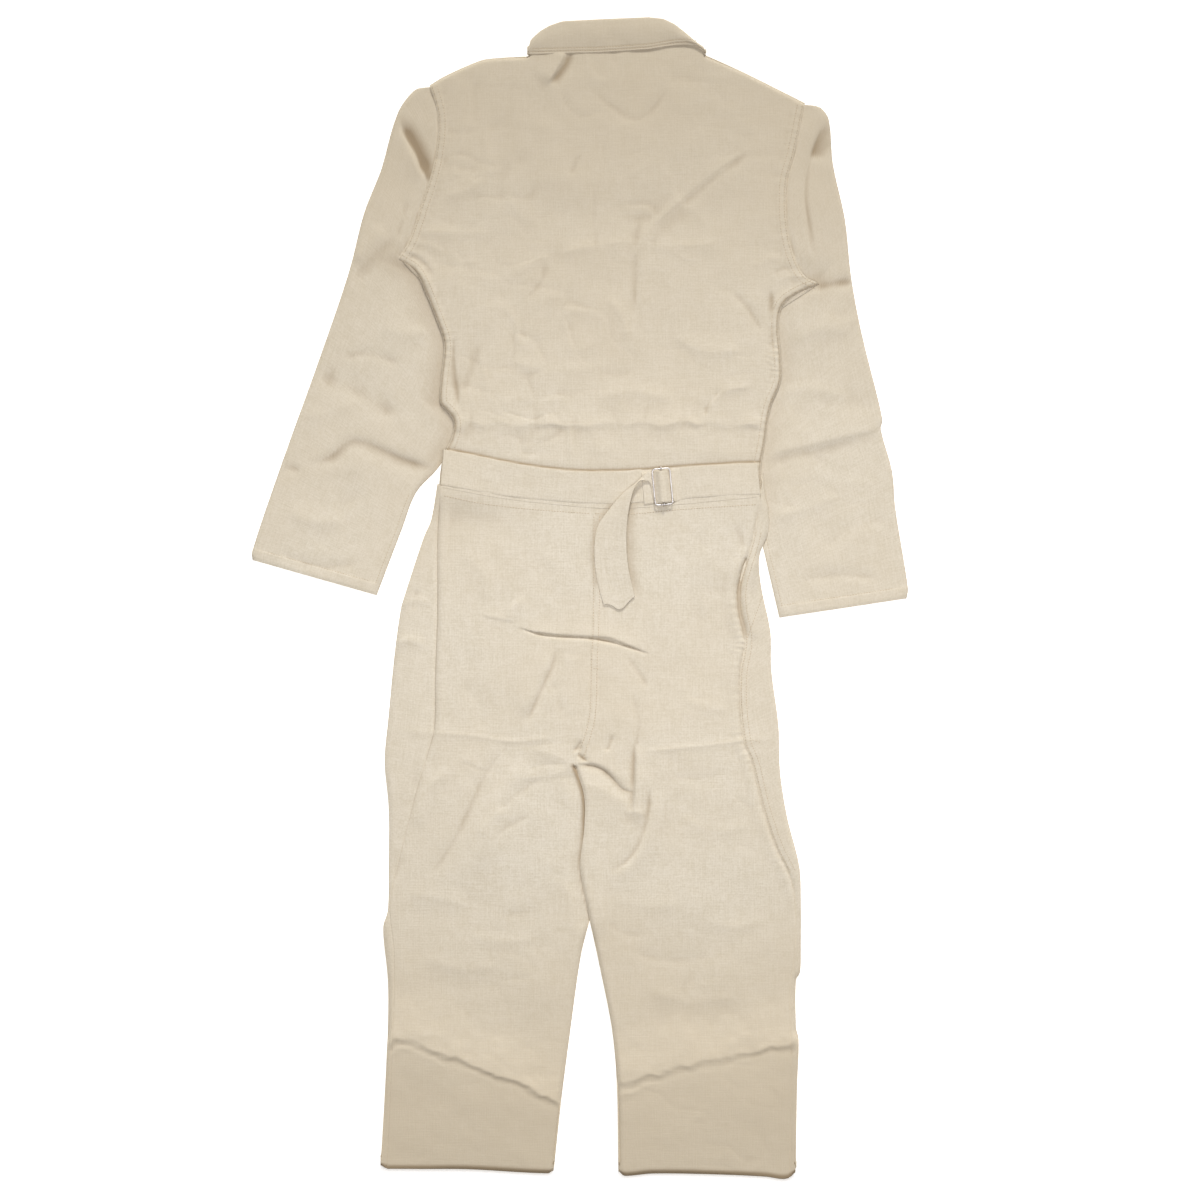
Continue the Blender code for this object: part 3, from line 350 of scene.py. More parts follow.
def chord_slopes(values, knots):
    """Slopes of a smooth curve through values: each follows the chord between its neighbours."""
    slopes = np.empty_like(values)
    slopes[1:-1] = (values[2:] - values[:-2]) / (knots[2:] - knots[:-2])[:, None]
    slopes[0] = (values[1] - values[0]) / (knots[1] - knots[0])
    slopes[-1] = (values[-1] - values[-2]) / (knots[-1] - knots[-2])
    return slopes


def between(values, slopes, i, width, t):
    """The smooth curve through values, at share t of the way from value i to the next."""
    return ((1 + 2 * t) * (1 - t) ** 2 * values[i] + t * (1 - t) ** 2 * width * slopes[i]
            + t * t * (3 - 2 * t) * values[i + 1] + t * t * (t - 1) * width * slopes[i + 1])


class Line:
    """A smooth plan line through points."""

    def __init__(self, points, steps=5):
        given = np.array(points, float)
        if len(given) > 2:
            knots = np.concatenate([[0], np.cumsum(np.linalg.norm(np.diff(given, axis=0), axis=1))])
            slopes = chord_slopes(given, knots)
            t = np.linspace(0, 1, steps, endpoint=False)[:, None]
            found = [between(given, slopes, i, width, t) for i, width in enumerate(np.diff(knots))]
            given = np.vstack(found + [given[-1:]])
        self.points = given
        lengths = np.linalg.norm(np.diff(given, axis=0), axis=1)
        self.marks = np.concatenate([[0], np.cumsum(lengths)])
        self.length = self.marks[-1]

    def at(self, part):
        """Points at shares of the line's length."""
        reach = np.asarray(part) * self.length
        return np.stack([np.interp(reach, self.marks, self.points[:, axis]) for axis in (0, 1)], axis=-1)

    def nearest(self, x, y):
        """The nearest point of the line and its share of the line's length."""
        share = self.near(x, y)[1]
        points = self.at(share)
        return points[..., 0], points[..., 1], share

    def x_at(self, y):
        order = np.argsort(self.points[:, 1])
        return np.interp(y, self.points[order, 1], self.points[order, 0])

    def y_at(self, x):
        order = np.argsort(self.points[:, 0])
        return np.interp(x, self.points[order, 0], self.points[order, 1])

    def near(self, x, y):
        """Distance from the line, above 0 on its left, and the share of its length at the nearest point."""
        best = np.full(np.shape(x), 1e9)
        side = np.ones(np.shape(x))
        share = np.zeros(np.shape(x))
        for i, (a, b) in enumerate(zip(self.points[:-1], self.points[1:])):
            dx, dy = b - a
            span = math.hypot(dx, dy)
            along = np.clip(((x - a[0]) * dx + (y - a[1]) * dy) / span ** 2, 0, 1)
            away = np.hypot(x - a[0] - along * dx, y - a[1] - along * dy)
            closer = away < best
            best = np.where(closer, away, best)
            side = np.where(closer, np.sign(dx * (y - a[1]) - dy * (x - a[0])), side)
            share = np.where(closer, (self.marks[i] + along * span) / self.length, share)
        return best * np.where(side == 0, 1, side), share


def joined(lines, shares):
    """One edge function of several lines, each taking its share of the way."""
    ends = np.concatenate([[0], np.cumsum(shares)])

    def edge(part):
        part = np.asarray(part, float)
        found = np.zeros(part.shape + (2,))
        for line, low, high in zip(lines, ends[:-1], ends[1:]):
            inside = (part >= low - 1e-9) & (part <= high + 1e-9)
            found[inside] = line.at(np.clip((part[inside] - low) / (high - low), 0, 1))
        return found

    return edge


def patch(left, right, bottom, top, u, v):
    """A sheet's plan between four edge functions that meet at the corners."""
    u, v = u[:, None], v[:, None]
    flat_u, flat_v = u[:, 0], v[:, 0]
    zero, one = np.zeros(1), np.ones(1)
    sides = (1 - u) * left(flat_v) + u * right(flat_v)
    ends = (1 - v) * bottom(flat_u) + v * top(flat_u)
    low_corners = (1 - u) * bottom(zero) + u * bottom(one)
    high_corners = (1 - u) * top(zero) + u * top(one)
    plan = sides + ends - ((1 - v) * low_corners + v * high_corners)
    return plan[:, 0], plan[:, 1]


def noise(x, y, cell, seed):
    """Smooth noise from -1 to 1 with bumps about one cell wide."""
    lattice = np.random.default_rng(seed).uniform(-1, 1, (64, 64))
    px, py = np.asarray(x) / cell + 500.0, np.asarray(y) / cell + 500.0
    ix, iy = np.floor(px).astype(int), np.floor(py).astype(int)
    fx, fy = px - ix, py - iy
    fx, fy = fx * fx * (3 - 2 * fx), fy * fy * (3 - 2 * fy)
    low = lattice[ix % 64, iy % 64] * (1 - fx) + lattice[(ix + 1) % 64, iy % 64] * fx
    high = lattice[ix % 64, (iy + 1) % 64] * (1 - fx) + lattice[(ix + 1) % 64, (iy + 1) % 64] * fx
    return low * (1 - fy) + high * fy


def rumple(x, y, seed):
    """The soft unevenness of cloth that has been folded and laid out by hand."""
    wide = 0.75 * noise(x, y, 95, seed) + 0.45 * noise(x + 0.4 * y, y, 48, seed + 1)
    fine = 0.16 * noise(x, y, 21, seed + 2) + 0.07 * noise(x, y, 10, seed + 3)
    return wide + fine


CREASE_LINES = {}          # the lines made so far, by the points they run through


def crease_line(row):
    key = tuple(row.points)
    if key not in CREASE_LINES:
        CREASE_LINES[key] = Line(row.points, 4)
    return CREASE_LINES[key]


def close_to(line, x, y, reach):
    low, high = line.points.min(axis=0) - reach, line.points.max(axis=0) + reach
    return (x > low[0]) & (x < high[0]) & (y > low[1]) & (y < high[1])


def creases(x, y, table):
    """Ridges and troughs of a crease table, uneven along their length and fading out at both ends."""
    total = np.zeros(np.shape(x))
    for number, row in enumerate(table):
        line = crease_line(row)
        close = close_to(line, x, y, 3.0 * max(row.left, row.right))
        if not close.any():
            continue
        away, share = line.near(x[close], y[close])
        width = np.where(away > 0, row.left, row.right) * (0.8 + 0.4 * np.sin(math.pi * share))
        ends = smooth(0, 0.22, share) * smooth(0, 0.22, 1 - share)
        uneven = 1 + 0.35 * noise(share * line.length, np.full(share.shape, 37.0 * number), 22, 5)
        total[close] += row.height * ends * uneven * np.exp(-(np.abs(away) / width) ** row.crisp)
    return total


def crease_shade(x, y, *tables):
    """0 to about 0.5: how dark the troughs of crease tables are."""
    depth = sum(creases(x, y, table) for table in tables)
    return np.clip(-0.14 * (depth + 0.9), 0, 0.5)


def tail_shade(x, y):
    """0 to 0.5: the shade that the belt's raised tail leaves beside it."""
    right, left = LINES["tail_right"].near(x, y)[0], LINES["tail_left"].near(x, y)[0]
    return (0.42 * np.exp(-(right / 10) ** 2) * smooth(-4, 0, right)
            + 0.42 * np.exp(-(left / 6) ** 2) * smooth(4, 0, left)) * smooth(-10, 25, y)


def pocket_opening(y):
    """1 along the pocket's slit, falling to 0 at its two ends."""
    return smooth(*POCKET_OPENING[:2], y) * smooth(*POCKET_OPENING[:1:-1], y)


def pocket_shade(x, y):
    """0 to 0.45: the dark of the pocket's slit in the right side seam."""
    away = LINES["leg_right_seam"].near(x, y)[0]
    return 0.45 * pocket_opening(y) * np.exp(-(away / 1.9) ** 2)


def drawn_together(x, y, u, v, tables):
    """Plan points with the mesh lines drawn together at crisp creases; the piece's own edges stay."""
    free = smooth(0, 0.06, np.minimum(u, 1 - u)) * smooth(0, 0.03, np.minimum(v, 1 - v))
    for row in (row for table in tables for row in table if row.crisp < 1.45 and abs(row.height) > 1.45):
        line = crease_line(row)
        close = close_to(line, x, y, 20)
        if not close.any():
            continue
        near_x, near_y, share = line.nearest(x[close], y[close])
        off_x, off_y = x[close] - near_x, y[close] - near_y
        pull = 0.6 * np.exp(-(off_x ** 2 + off_y ** 2) / 9 ** 2) * free[close]
        pull = pull * smooth(0, 0.15, share) * smooth(0, 0.15, 1 - share)
        x[close] -= pull * off_x
        y[close] -= pull * off_y
    return x, y


def wrinkles(x, y, seed):
    """A fine net of short, sharp wrinkles that comes and goes."""
    bend_x, bend_y = x + 9 * noise(x, y, 30, seed + 7), y + 9 * noise(x, y, 30, seed + 8)
    first = (1 - np.abs(noise(bend_x, 0.6 * bend_y, 34, seed))) ** 5
    second = (1 - np.abs(noise(0.6 * bend_x + 0.3 * bend_y, bend_y, 27, seed + 1))) ** 5
    where = smooth(-0.1, 0.7, noise(x, y, 70, seed + 2))
    return (0.9 * first - 0.8 * second) * (0.25 + 0.75 * where)


def waist_fold(x, y):
    """The cloth bags over the belt in uneven lobes; small gathers run down from between them."""
    knots = np.array(WAIST_FOLD, float)
    lobe = np.clip(np.searchsorted(knots[:, 0], x) - 1, 0, len(knots) - 2)
    part = np.clip((x - knots[lobe, 0]) / (knots[lobe + 1, 0] - knots[lobe, 0]), 0, 1)
    arch = np.sin(math.pi * part) ** 0.7
    place = lobe + part
    drop = 3.6 + 2.2 * np.sin(5.1 * place)
    away = y - (np.interp(x, knots[:, 0], knots[:, 1]) + 1.6 - drop * arch + 1.2 * noise(x, 0 * y, 16, 65))
    width = np.where(away > 0, 13.0 + 4 * np.sin(2.3 * place), 5.0 + 1.5 * np.sin(3.1 * place))
    ends = smooth(-166, -146, x) * smooth(232, 222, x)
    size = (1.9 + 0.8 * np.sin(1.9 * place + 1)) * (0.45 + 0.55 * arch)
    fold = size * ends * np.exp(-(np.abs(away) / width) ** 1.4)
    notch = np.min(np.abs(x[..., None] + 4 * noise(x, y, 12, 66)[..., None] - knots[:, 0]), axis=-1)
    gathers = -0.2 * np.exp(-(notch / 4.5) ** 2) * smooth(8, -4, away) * smooth(-40, -18, away) * ends
    above = -0.22 * np.exp(-(notch / 5.0) ** 2) * smooth(-2, 4, away) * smooth(26, 10, away) * ends
    return fold + gathers + above


def pucker(x, y, line, side, reach=9.0, height=0.28, length=9.0, seed=3):
    """Small ripples across a stitched seam, on one side of it (side 1 is the line's left)."""
    away, share = line.near(x, y)
    away = away * side
    along = share * line.length
    phase = 2 * math.pi * along / length + 2.2 * noise(along, 0 * along, 26, seed)
    strength = 0.5 + 0.5 * noise(along, 0 * along, 40, seed + 1)
    inside = smooth(-2, 1, away) * np.exp(-(np.maximum(away, 0) / reach) ** 2)
    return height * strength * inside * np.sin(phase)


def seam(x, y, line, side, band=9.0, raised=0.5, ditch=0.8):
    """A felled seam: a ditch on the line, then a raised band of folded plies held by two stitch rows."""
    away = line.near(x, y)[0] * side
    plies = raised * smooth(0.5, 2.5, away) * (1 - smooth(band, band + 3, away))
    rows = 0.25 * np.exp(-((away - 2.4) / 1.5) ** 2) + 0.3 * np.exp(-((away - band + 0.8) / 1.6) ** 2)
    return plies - rows * (away > 0) - ditch * np.exp(-(away / 1.6) ** 2)


LINES = {name: Line(points) for name, points in {
    "torso_left": TORSO_LEFT, "torso_right": TORSO_RIGHT, "armhole_left": ARMHOLE_LEFT,
    "armhole_right": ARMHOLE_RIGHT, "shoulder_left": SHOULDER_LEFT, "shoulder_right": SHOULDER_RIGHT,
    "back_neck": BACK_NECK, "neck_left": FRONT_NECK_LEFT, "neck_right": FRONT_NECK_RIGHT, "waist": WAIST,
    "fly": FLY, "sleeve_left_outer": SLEEVE_LEFT_OUTER, "sleeve_left_inner": SLEEVE_LEFT_INNER,
    "sleeve_right_outer": SLEEVE_RIGHT_OUTER, "sleeve_right_inner": SLEEVE_RIGHT_INNER,
    "leg_left_outer": LEG_OUTER_LEFT, "leg_right_outer": LEG_OUTER_RIGHT, "leg_left_seam": LEG_SEAM_LEFT,
    "leg_right_seam": LEG_SEAM_RIGHT, "centre": CENTRE_SEAM, "slit": SLIT, "leg_left_inner": LEG_INNER_LEFT,
    "leg_right_inner": LEG_INNER_RIGHT, "leg_left_bottom": LEG_BOTTOM_LEFT,
    "leg_right_bottom": LEG_BOTTOM_RIGHT, "ridge_left": RIDGE_LEFT, "ridge_right": RIDGE_RIGHT,
    "wedge_left": [(-222, 592), (-210, 570), (-200, 548), (-192, 526)],
    "belt_top": [(-171, 187), (-139, 181), (-96, 172), (-54, 165), (-9, 160), (32, 159.5), (80, 161),
                 (100, 163), (128, 165), (168, 167.5), (198, 169.5), (222, 170)],
    "tail_right": [(66, 133), (60, 106), (58, 85), (58, 62), (60, 40), (64, 20), (68.5, 3)],
    "tail_left": [(70, 145), (52, 130), (33, 107), (22, 90), (18, 66), (18.5, 44), (22, 20)],
    "under_slit_left": [(-8, FORK), (10, -240), (19, -290), (16, -340), (15, -370), (12, -402)],
}.items()}


def distance(x, y, *names):
    """Distance from the nearest of some plan lines."""
    return np.min([np.abs(LINES[name].near(x, y)[0]) for name in names], axis=0)


def quarter_circle(part):
    """Height of a quarter circle that starts upright: 0 at 0 and 1 from 1 on."""
    return np.sqrt(np.clip(1 - (1 - part) ** 2, 0, 1))


def rounded(away, low, high, width=EDGE_ROUND):
    """Height that curves from low at an edge to high at a distance from it."""
    part = np.clip(away / width, 0, 1)
    return low + (high - low) * (1 - (1 - part) ** 2)


def sleeve_cover(x, y):
    """0 to 1: how far the torso is lifted by a sleeve under its side."""
    left = 1 - smooth(*COVER_FALL, x - LINES["torso_left"].x_at(y))
    left = left * smooth(*COVER_LEFT[:2], y) * (1 - smooth(*COVER_LEFT[2:], y))
    side = np.where(y > 128, LINES["torso_right"].x_at(y), LINES["leg_right_outer"].x_at(y))
    right = 1 - smooth(*COVER_FALL, side - x)
    right = right * smooth(*COVER_RIGHT[:2], y) * (1 - smooth(*COVER_RIGHT[2:], y))
    return np.maximum(left, right)


def joined_at_waist(x, y, height):
    """Brings a height to that of the flat waist seam, close to it."""
    blend = np.exp(-((y - LINES["waist"].y_at(x)) / 20) ** 2)
    return height + (TUBE_TOP + 1.9 + COVER_LIFT * sleeve_cover(x, y) - height) * blend


def belt_crevice(x, y):
    """0 to 1: the narrow hollow in which the belt's upper edge lies."""
    above = y - LINES["belt_top"].y_at(x)
    return np.exp(-(np.abs(above - 0.5) / np.where(above > 0.5, 4.5, 2.5)) ** 1.5) * smooth(-172, -166, x)


def neck_lift(x, y):
    """0 to 1: how far the collar's hidden front part lifts the cloth that lies on it."""
    return (1 - smooth(118, 160, np.abs(x - NECK_MIDDLE))) * smooth(475, 528, y)


def bodice_top(x, y):
    """Upper side of the back bodice away from its edges."""
    middle = smooth(0, 90, np.minimum(x - LINES["torso_left"].x_at(y), LINES["torso_right"].x_at(y) - x))
    height = TUBE_TOP + 0.5 + COVER_LIFT * sleeve_cover(x, y) + 2.3 * middle
    height = height + 1.5 * neck_lift(x, y) - 2.2 * smooth(640, 692, y)
    inside = 0.35 + 0.65 * middle
    sharp = 1.05 - 0.8 * np.exp(-((x + 90) ** 2 + (y - 444) ** 2) / 50 ** 2)
    relief = (1.3 * rumple(x, y, 11) + sharp * wrinkles(x, y, 15)) * inside + creases(x, y, BODICE_CREASES)
    relief = relief + waist_fold(x, y)
    near_waist = np.exp(-((y - LINES["waist"].y_at(x) - 12) / 30) ** 2)
    relief = relief + near_waist * (0.8 * noise(x, y, 24, 61) - 0.2)
    relief = relief * (1 - 0.85 * smooth(112, 120, y) * smooth(184, 172, y))
    relief = relief - 1.3 * belt_crevice(x, y)
    for line, side in ((LINES["torso_left"], -1), (LINES["torso_right"], 1),
                       (LINES["armhole_left"], -1), (LINES["armhole_right"], 1)):
        relief = relief + seam(x, y, line, side, band=9.5, raised=0.8, ditch=0.0)
        relief = relief + pucker(x, y, line, side, reach=13, height=0.4, length=10)
    ladder = smooth(238, 258, y) * smooth(326, 300, y)
    away = -LINES["torso_right"].near(x, y)[0]
    ladder = ladder * smooth(1, 5, np.abs(away)) * smooth(24, 14, np.abs(away))
    phase = 2 * math.pi * (y + 0.3 * x + 5 * noise(x, y, 16, 67)) / 6.8
    relief = relief + 0.24 * ladder * (1 + 0.8 * noise(x, y, 20, 68)) * np.sin(phase)
    return joined_at_waist(x, y, height + relief) + 0.2


def sleeve_top(side, x, y):
    """Upper side of a sleeve away from its edges."""
    inside = smooth(0, 60, distance(x, y, f"sleeve_{side}_inner", f"sleeve_{side}_outer"))
    sign = -1 if side == "left" else 1
    free = smooth(-6, 26, sign * (x - LINES[f"torso_{side}"].x_at(y)))
    free = np.maximum(free, smooth(395, 430, y))
    relief = 1.3 * rumple(x, y, 31) + 0.55 * wrinkles(x, y, 35)
    relief = relief * (0.4 + 0.6 * inside) + creases(x, y, SLEEVE_CREASES[side])
    top = SLEEVE_UNDER + free * (TUBE_TOP - 0.4 - SLEEVE_UNDER + 2.2 * inside + relief)
    outside = -sign * LINES["armhole_" + side].near(x, y)[0]
    return np.where(y > 396, np.minimum(top, bodice_top(x, y) - 1.3 + 0.8 * np.maximum(outside, 0)), top)


def leg_lift(side, x, y):
    """0 to 1: the climb onto the folded leg end, below the hidden hem."""
    return smooth(-10, 4, -LINES["ridge_" + side].near(x, y)[0])


def leg_end(side, x, y):
    """The leg climbs over its folded end in an uneven ridge, then falls away to the bottom fold."""
    away = -LINES["ridge_" + side].near(x, y)[0]
    away = away + 3.2 * noise(x, y, 17, 73) + 1.5 * noise(x, y, 7, 74)
    uneven = 1 + 0.45 * noise(x, y, 34, 71) + 0.3 * noise(x, y, 12, 72)
    width = np.where(away < 0, 13, 2.8)
    ridge = 1.3 * uneven * np.exp(-(np.abs(away) / width) ** 1.4)
    second = 0.7 * np.maximum(noise(x, y, 60, 75), 0) * np.exp(-((away - 13) / 4) ** 2)
    dip = -0.3 * np.exp(-((away - 7) / 4) ** 2)
    return LEG_END_LIFT * smooth(-70, 3, away) + ridge + second + dip - 3.4 * smooth(0, 150, away)


def side_seam(side, x, y):
    """Across a trouser side seam: a narrow trough, a band beside it and, on the right, the pocket's slit."""
    line = LINES[f"leg_{side}_seam"]
    away = line.near(x, y)[0]
    on_back = away if side == "left" else -away
    if side == "left":
        fade = (0.35 + 0.65 * smooth(-230, -170, y)) * smooth(-420, -330, y)
        trough = -1.9 * np.exp(-(np.abs(away) / np.where(on_back > 0, 2.0, 6.0)) ** 1.3)
        band = 0.8 * np.exp(-((on_back - 7) / 6) ** 2)
        dip = 0.7 * np.exp(-((on_back + 12) / 8) ** 2)
        return fade * (trough + band - dip)
    fade = smooth(-410, -350, y)
    slit = pocket_opening(y)
    trough = -(1.2 + 4.6 * slit) * np.exp(-(np.abs(away) / np.where(on_back > 0, 2.6, 3.6)) ** 1.3)
    lips = 1.5 * slit * (np.exp(-((on_back - 8) / 6) ** 2) + np.exp(-((on_back + 10) / 7) ** 2))
    band = seam(x, y, line, -1, band=9.5, raised=0.7, ditch=0.0) * (1 - slit)
    return fade * (trough + lips + band + pucker(x, y, line, -1, reach=12, height=0.5, length=9))


def over_slit(x, y):
    """0 to 1: where the right leg's edge lies on the left leg's, down the slit."""
    return (1 - smooth(0, 34, distance(x, y, "slit"))) * smooth(FORK - 4, FORK - 34, y)


def leg_top(side, x, y):
    """Upper side of a leg away from its edges."""
    outer = LINES[f"leg_{side}_outer"]
    width = 1 - smooth(20, 120, np.abs(x - outer.x_at(y)))
    height = TUBE_TOP + COVER_LIFT * sleeve_cover(x, y) + 1.8 * (1 - 0.8 * width) + leg_end(side, x, y)
    inside = smooth(0, 30, np.abs(x - outer.x_at(y)))
    relief = (0.9 * rumple(x, y, 41) + 0.45 * wrinkles(x, y, 45)) * (0.3 + 0.7 * inside)
    relief = relief + creases(x, y, LEG_CREASES) + creases(x, y, LEG_STRIP_CREASES)
    centre = LINES["centre"]
    on_seat = smooth(FORK + 4, FORK + 24, y)
    if side == "right":
        relief = relief + on_seat * (seam(x, y, centre, 1, band=10, raised=0.5, ditch=0.15)
                                     + pucker(x, y, centre, 1, height=0.2, length=8))
        height = height + 1.5 * over_slit(x, y)
    else:
        groove = smooth(FORK - 2, FORK - 22, y) * smooth(-430, -400, y)
        height = height - 2.2 * (1 - smooth(2, 24, distance(x, y, "slit"))) * groove
    return joined_at_waist(x, y, height + relief + side_seam(side, x, y))


# ---------------------------------------------------------------- mesh helpers


def across(width, step, edges=(True, True)):
    """Shares of a width: close together at the chosen edges, a step apart between them."""
    close = np.array([0.0, 0.35, 1.0, 2.0, 3.4, 5.2, 7.4])
    low = close if edges[0] else close[:1]
    high = close if edges[1] else close[:1]
    count = max(2, round((width - low[-1] - high[-1]) / step))
    middle = np.linspace(low[-1], width - high[-1], count + 1)
    return np.concatenate([low[:-1], middle, (width - high[::-1])[1:]]) / width


def closer(shares, width, zones, step):
    """Shares with more of them inside zones, given as distances along the width."""
    marks = shares * width
    for low, high in zones:
        marks = marks[(marks <= low) | (marks >= high)]
        marks = np.sort(np.concatenate([marks, np.arange(low + step / 2, high, step)]))
    return marks / width


def hollows(heights):
    """0 to 1: how far each point of a grid of heights lies below the cloth round it."""
    around = heights
    for _ in range(3):
        for axis in (0, 1):
            wide = np.pad(around, [(2, 2) if axis == a else (0, 0) for a in (0, 1)], mode="edge")
            count = heights.shape[axis]
            around = sum(np.take(wide, range(k, k + count), axis=axis) for k in range(5)) / 5
    return np.clip((around - heights) / HOLLOW_DEPTH, 0, 1)


def finished(shape, name):
    """The mesh of a shape that is no longer needed."""
    mesh = bpy.data.meshes.new(name)
    shape.to_mesh(mesh)
    shape.free()
    return mesh


def placed_grid(name, columns, rows, place, flat, turned=False, ring=False):
    """A smooth grid with columns and rows at given shares, moved to place(u, v) in millimetres.

    place also gives each point's painted shade, beyond the painted shade that its own hollows get.
    """
    shape = bmesh.new()
    shape.loops.layers.uv.new("Weave")
    segments = len(columns) - 1, len(rows) - 1
    bmesh.ops.create_grid(shape, x_segments=segments[0], y_segments=segments[1], size=1.0, calc_uvs=True)
    mesh = finished(shape, name)
    corners = np.empty(len(mesh.vertices) * 3)
    mesh.vertices.foreach_get("co", corners)
    corners = corners.reshape(-1, 3)
    i = np.rint((corners[:, 0] + 1) / 2 * segments[0]).astype(int)
    j = np.rint((corners[:, 1] + 1) / 2 * segments[1]).astype(int)
    u, v = np.asarray(columns)[i], np.asarray(rows)[j]
    x, y, z, *shade = place(u, v)
    mesh.vertices.foreach_set("co", (np.stack([x, y, z], axis=-1) * MM).ravel())
    heights = np.zeros((len(columns), len(rows)))
    heights[i, j] = z
    # painted shade: darker where the cloth lies below the cloth round it, plus the shade that place paints
    depth = np.clip(0.6 * hollows(heights)[i, j] + sum(shade), 0, 1)
    mesh.attributes.new("Hollow", "FLOAT", "POINT").data.foreach_set("value", depth)
    owners = np.empty(len(mesh.loops), int)
    mesh.loops.foreach_get("vertex_index", owners)
    cloth = np.stack([u * flat[0], v * flat[1]], axis=-1)
    if flat is PLAN:
        cloth = np.stack([x, y], axis=-1) * MM
    mesh.uv_layers["Weave"].data.foreach_set("uv", cloth[owners].ravel())
    if turned:
        mesh.flip_normals()
    if ring:
        shape = bmesh.new()
        shape.from_mesh(mesh)
        bmesh.ops.remove_doubles(shape, verts=shape.verts, dist=1e-6)
        shape.to_mesh(mesh)
        shape.free()
    mesh.shade_smooth()
    mesh.update()
    return mesh


def add_piece(name, mesh, finish, nodes=()):
    piece = bpy.data.objects.new(name, mesh)
    bpy.context.scene.collection.objects.link(piece)
    mesh.materials.clear()
    mesh.materials.append(finish)
    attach(piece, "root")
    if nodes:
        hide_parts(*nodes)
    return piece


def add_cloth(name, mesh, thickness=PLY):
    """A cloth piece with its ply's thickness on the inner side, in place of the imported part of the same
    name.
    """
    piece = add_piece(name + "_cloth", mesh, bpy.data.materials["linen_cloth"], [name])
    wall = piece.modifiers.new("Ply", "SOLIDIFY")
    wall.thickness = thickness * MM
    wall.offset = -1
    return piece


def settings():
    return bpy.context.scene.jumpsuit_cloth


# ---------------------------------------------------------------- bodice


def torso_edges():
    shares = (ARMPIT_SHARE, 1 - ARMPIT_SHARE)
    left = joined([LINES["torso_left"], LINES["armhole_left"]], shares)
    right = joined([LINES["torso_right"], LINES["armhole_right"]], shares)
    return left, right


def waist_edge(start, end):
    def edge(part):
        x = start + (end - start) * np.asarray(part)
        return np.stack([x, LINES["waist"].y_at(x)], axis=-1)
    return edge


def torso_edge_distance(x, y):
    """Distance from the torso's silhouette: its sides and shoulders, not its armholes, neck or waist."""
    away = distance(x, y, "torso_left", "torso_right", "shoulder_left", "shoulder_right")
    return np.where(np.abs(x - NECK_MIDDLE) < 100, np.maximum(away, (690 - y) * (y > 600)), away)


def torso_middle_height(x, y):
    """Height at which the front and the back meet at a side seam or a shoulder."""
    return 1.9 + COVER_LIFT * sleeve_cover(x, y)


def build_back_bodice():
    left, right = torso_edges()
    top = joined([LINES["shoulder_left"], LINES["back_neck"], LINES["shoulder_right"]], (0.275, 0.45, 0.275))
    bottom = waist_edge(*WAIST_ENDS)

    def place(u, v):
        x, y = patch(left, right, bottom, top, u, v)
        x, y = drawn_together(x, y, u, v, [BODICE_CREASES])
        z = rounded(torso_edge_distance(x, y), torso_middle_height(x, y), bodice_top(x, y))
        seam_ditch = 1 - smooth(0, 1.8, distance(x, y, "armhole_left", "armhole_right"))
        z = z - 0.4 * seam_ditch * (y > 415)
        side_shade = 0.3 * np.exp(-(distance(x, y, "torso_left", "torso_right") / 3.5) ** 2)
        shade = crease_shade(x, y, BODICE_CREASES) + side_shade + tail_shade(x, y)
        # painted shade in the crevice above the belt's upper edge
        return x, y, z, shade + 0.9 * belt_crevice(x, y) ** 5

    step = settings().mesh_step * 1.12
    rows = closer(across(575, step), 575, [(30, 62), (84, 108), (160, 204), (286, 330)], 1.5)
    mesh = placed_grid("back_bodice", across(460, step), rows, place, PLAN)
    add_cloth("back_bodice", mesh)


def under_height(x, y, edge):
    """Underside of a front panel: on the surface, a little uneven, curving up to meet the back at an edge."""
    ripple = np.maximum(0, 0.5 * noise(x, y, 60, 91) + creases(x, y, UNDER_CREASES))
    flat = COVER_LIFT * sleeve_cover(x, y) + ripple * smooth(4, 30, edge)
    return rounded(edge, torso_middle_height(x, y), flat)


def build_front_bodices():
    left, right = torso_edges()
    step = 2 * settings().mesh_step
    for side, inner_x in zip(("left", "right"), PLACKET):
        shoulder, neck = LINES["shoulder_" + side], LINES["neck_" + side]

        def centre(part, inner_x=inner_x, neck_y=NECK_TOP[side]):
            low = float(LINES["waist"].y_at(inner_x))
            part = np.asarray(part)
            lower = low + (ARMPIT_LEVEL - low) * part / ARMPIT_SHARE
            upper = ARMPIT_LEVEL + (neck_y - ARMPIT_LEVEL) * (part - ARMPIT_SHARE) / (1 - ARMPIT_SHARE)
            y = np.where(part < ARMPIT_SHARE, lower, upper)
            return np.stack([np.full(part.shape, inner_x), y], axis=-1)

        if side == "left":
            edges = left, centre, waist_edge(WAIST_ENDS[0], inner_x), joined([shoulder, neck], (0.58, 0.42))
        else:
            edges = centre, right, waist_edge(inner_x, WAIST_ENDS[1]), joined([neck, shoulder], (0.42, 0.58))

        def place(u, v, edges=edges):
            x, y = patch(*edges, u, v)
            edge = torso_edge_distance(x, y)
            return x, y, under_height(x, y, edge) + 1.5 * neck_lift(x, y)

        close = (side == "left", side == "right")
        mesh = placed_grid("front_bodice_" + side, across(220, step, close), across(570, step, (False, True)),
                           place, (0.22, 0.57), turned=True)
        add_cloth("front_bodice_" + side, mesh)


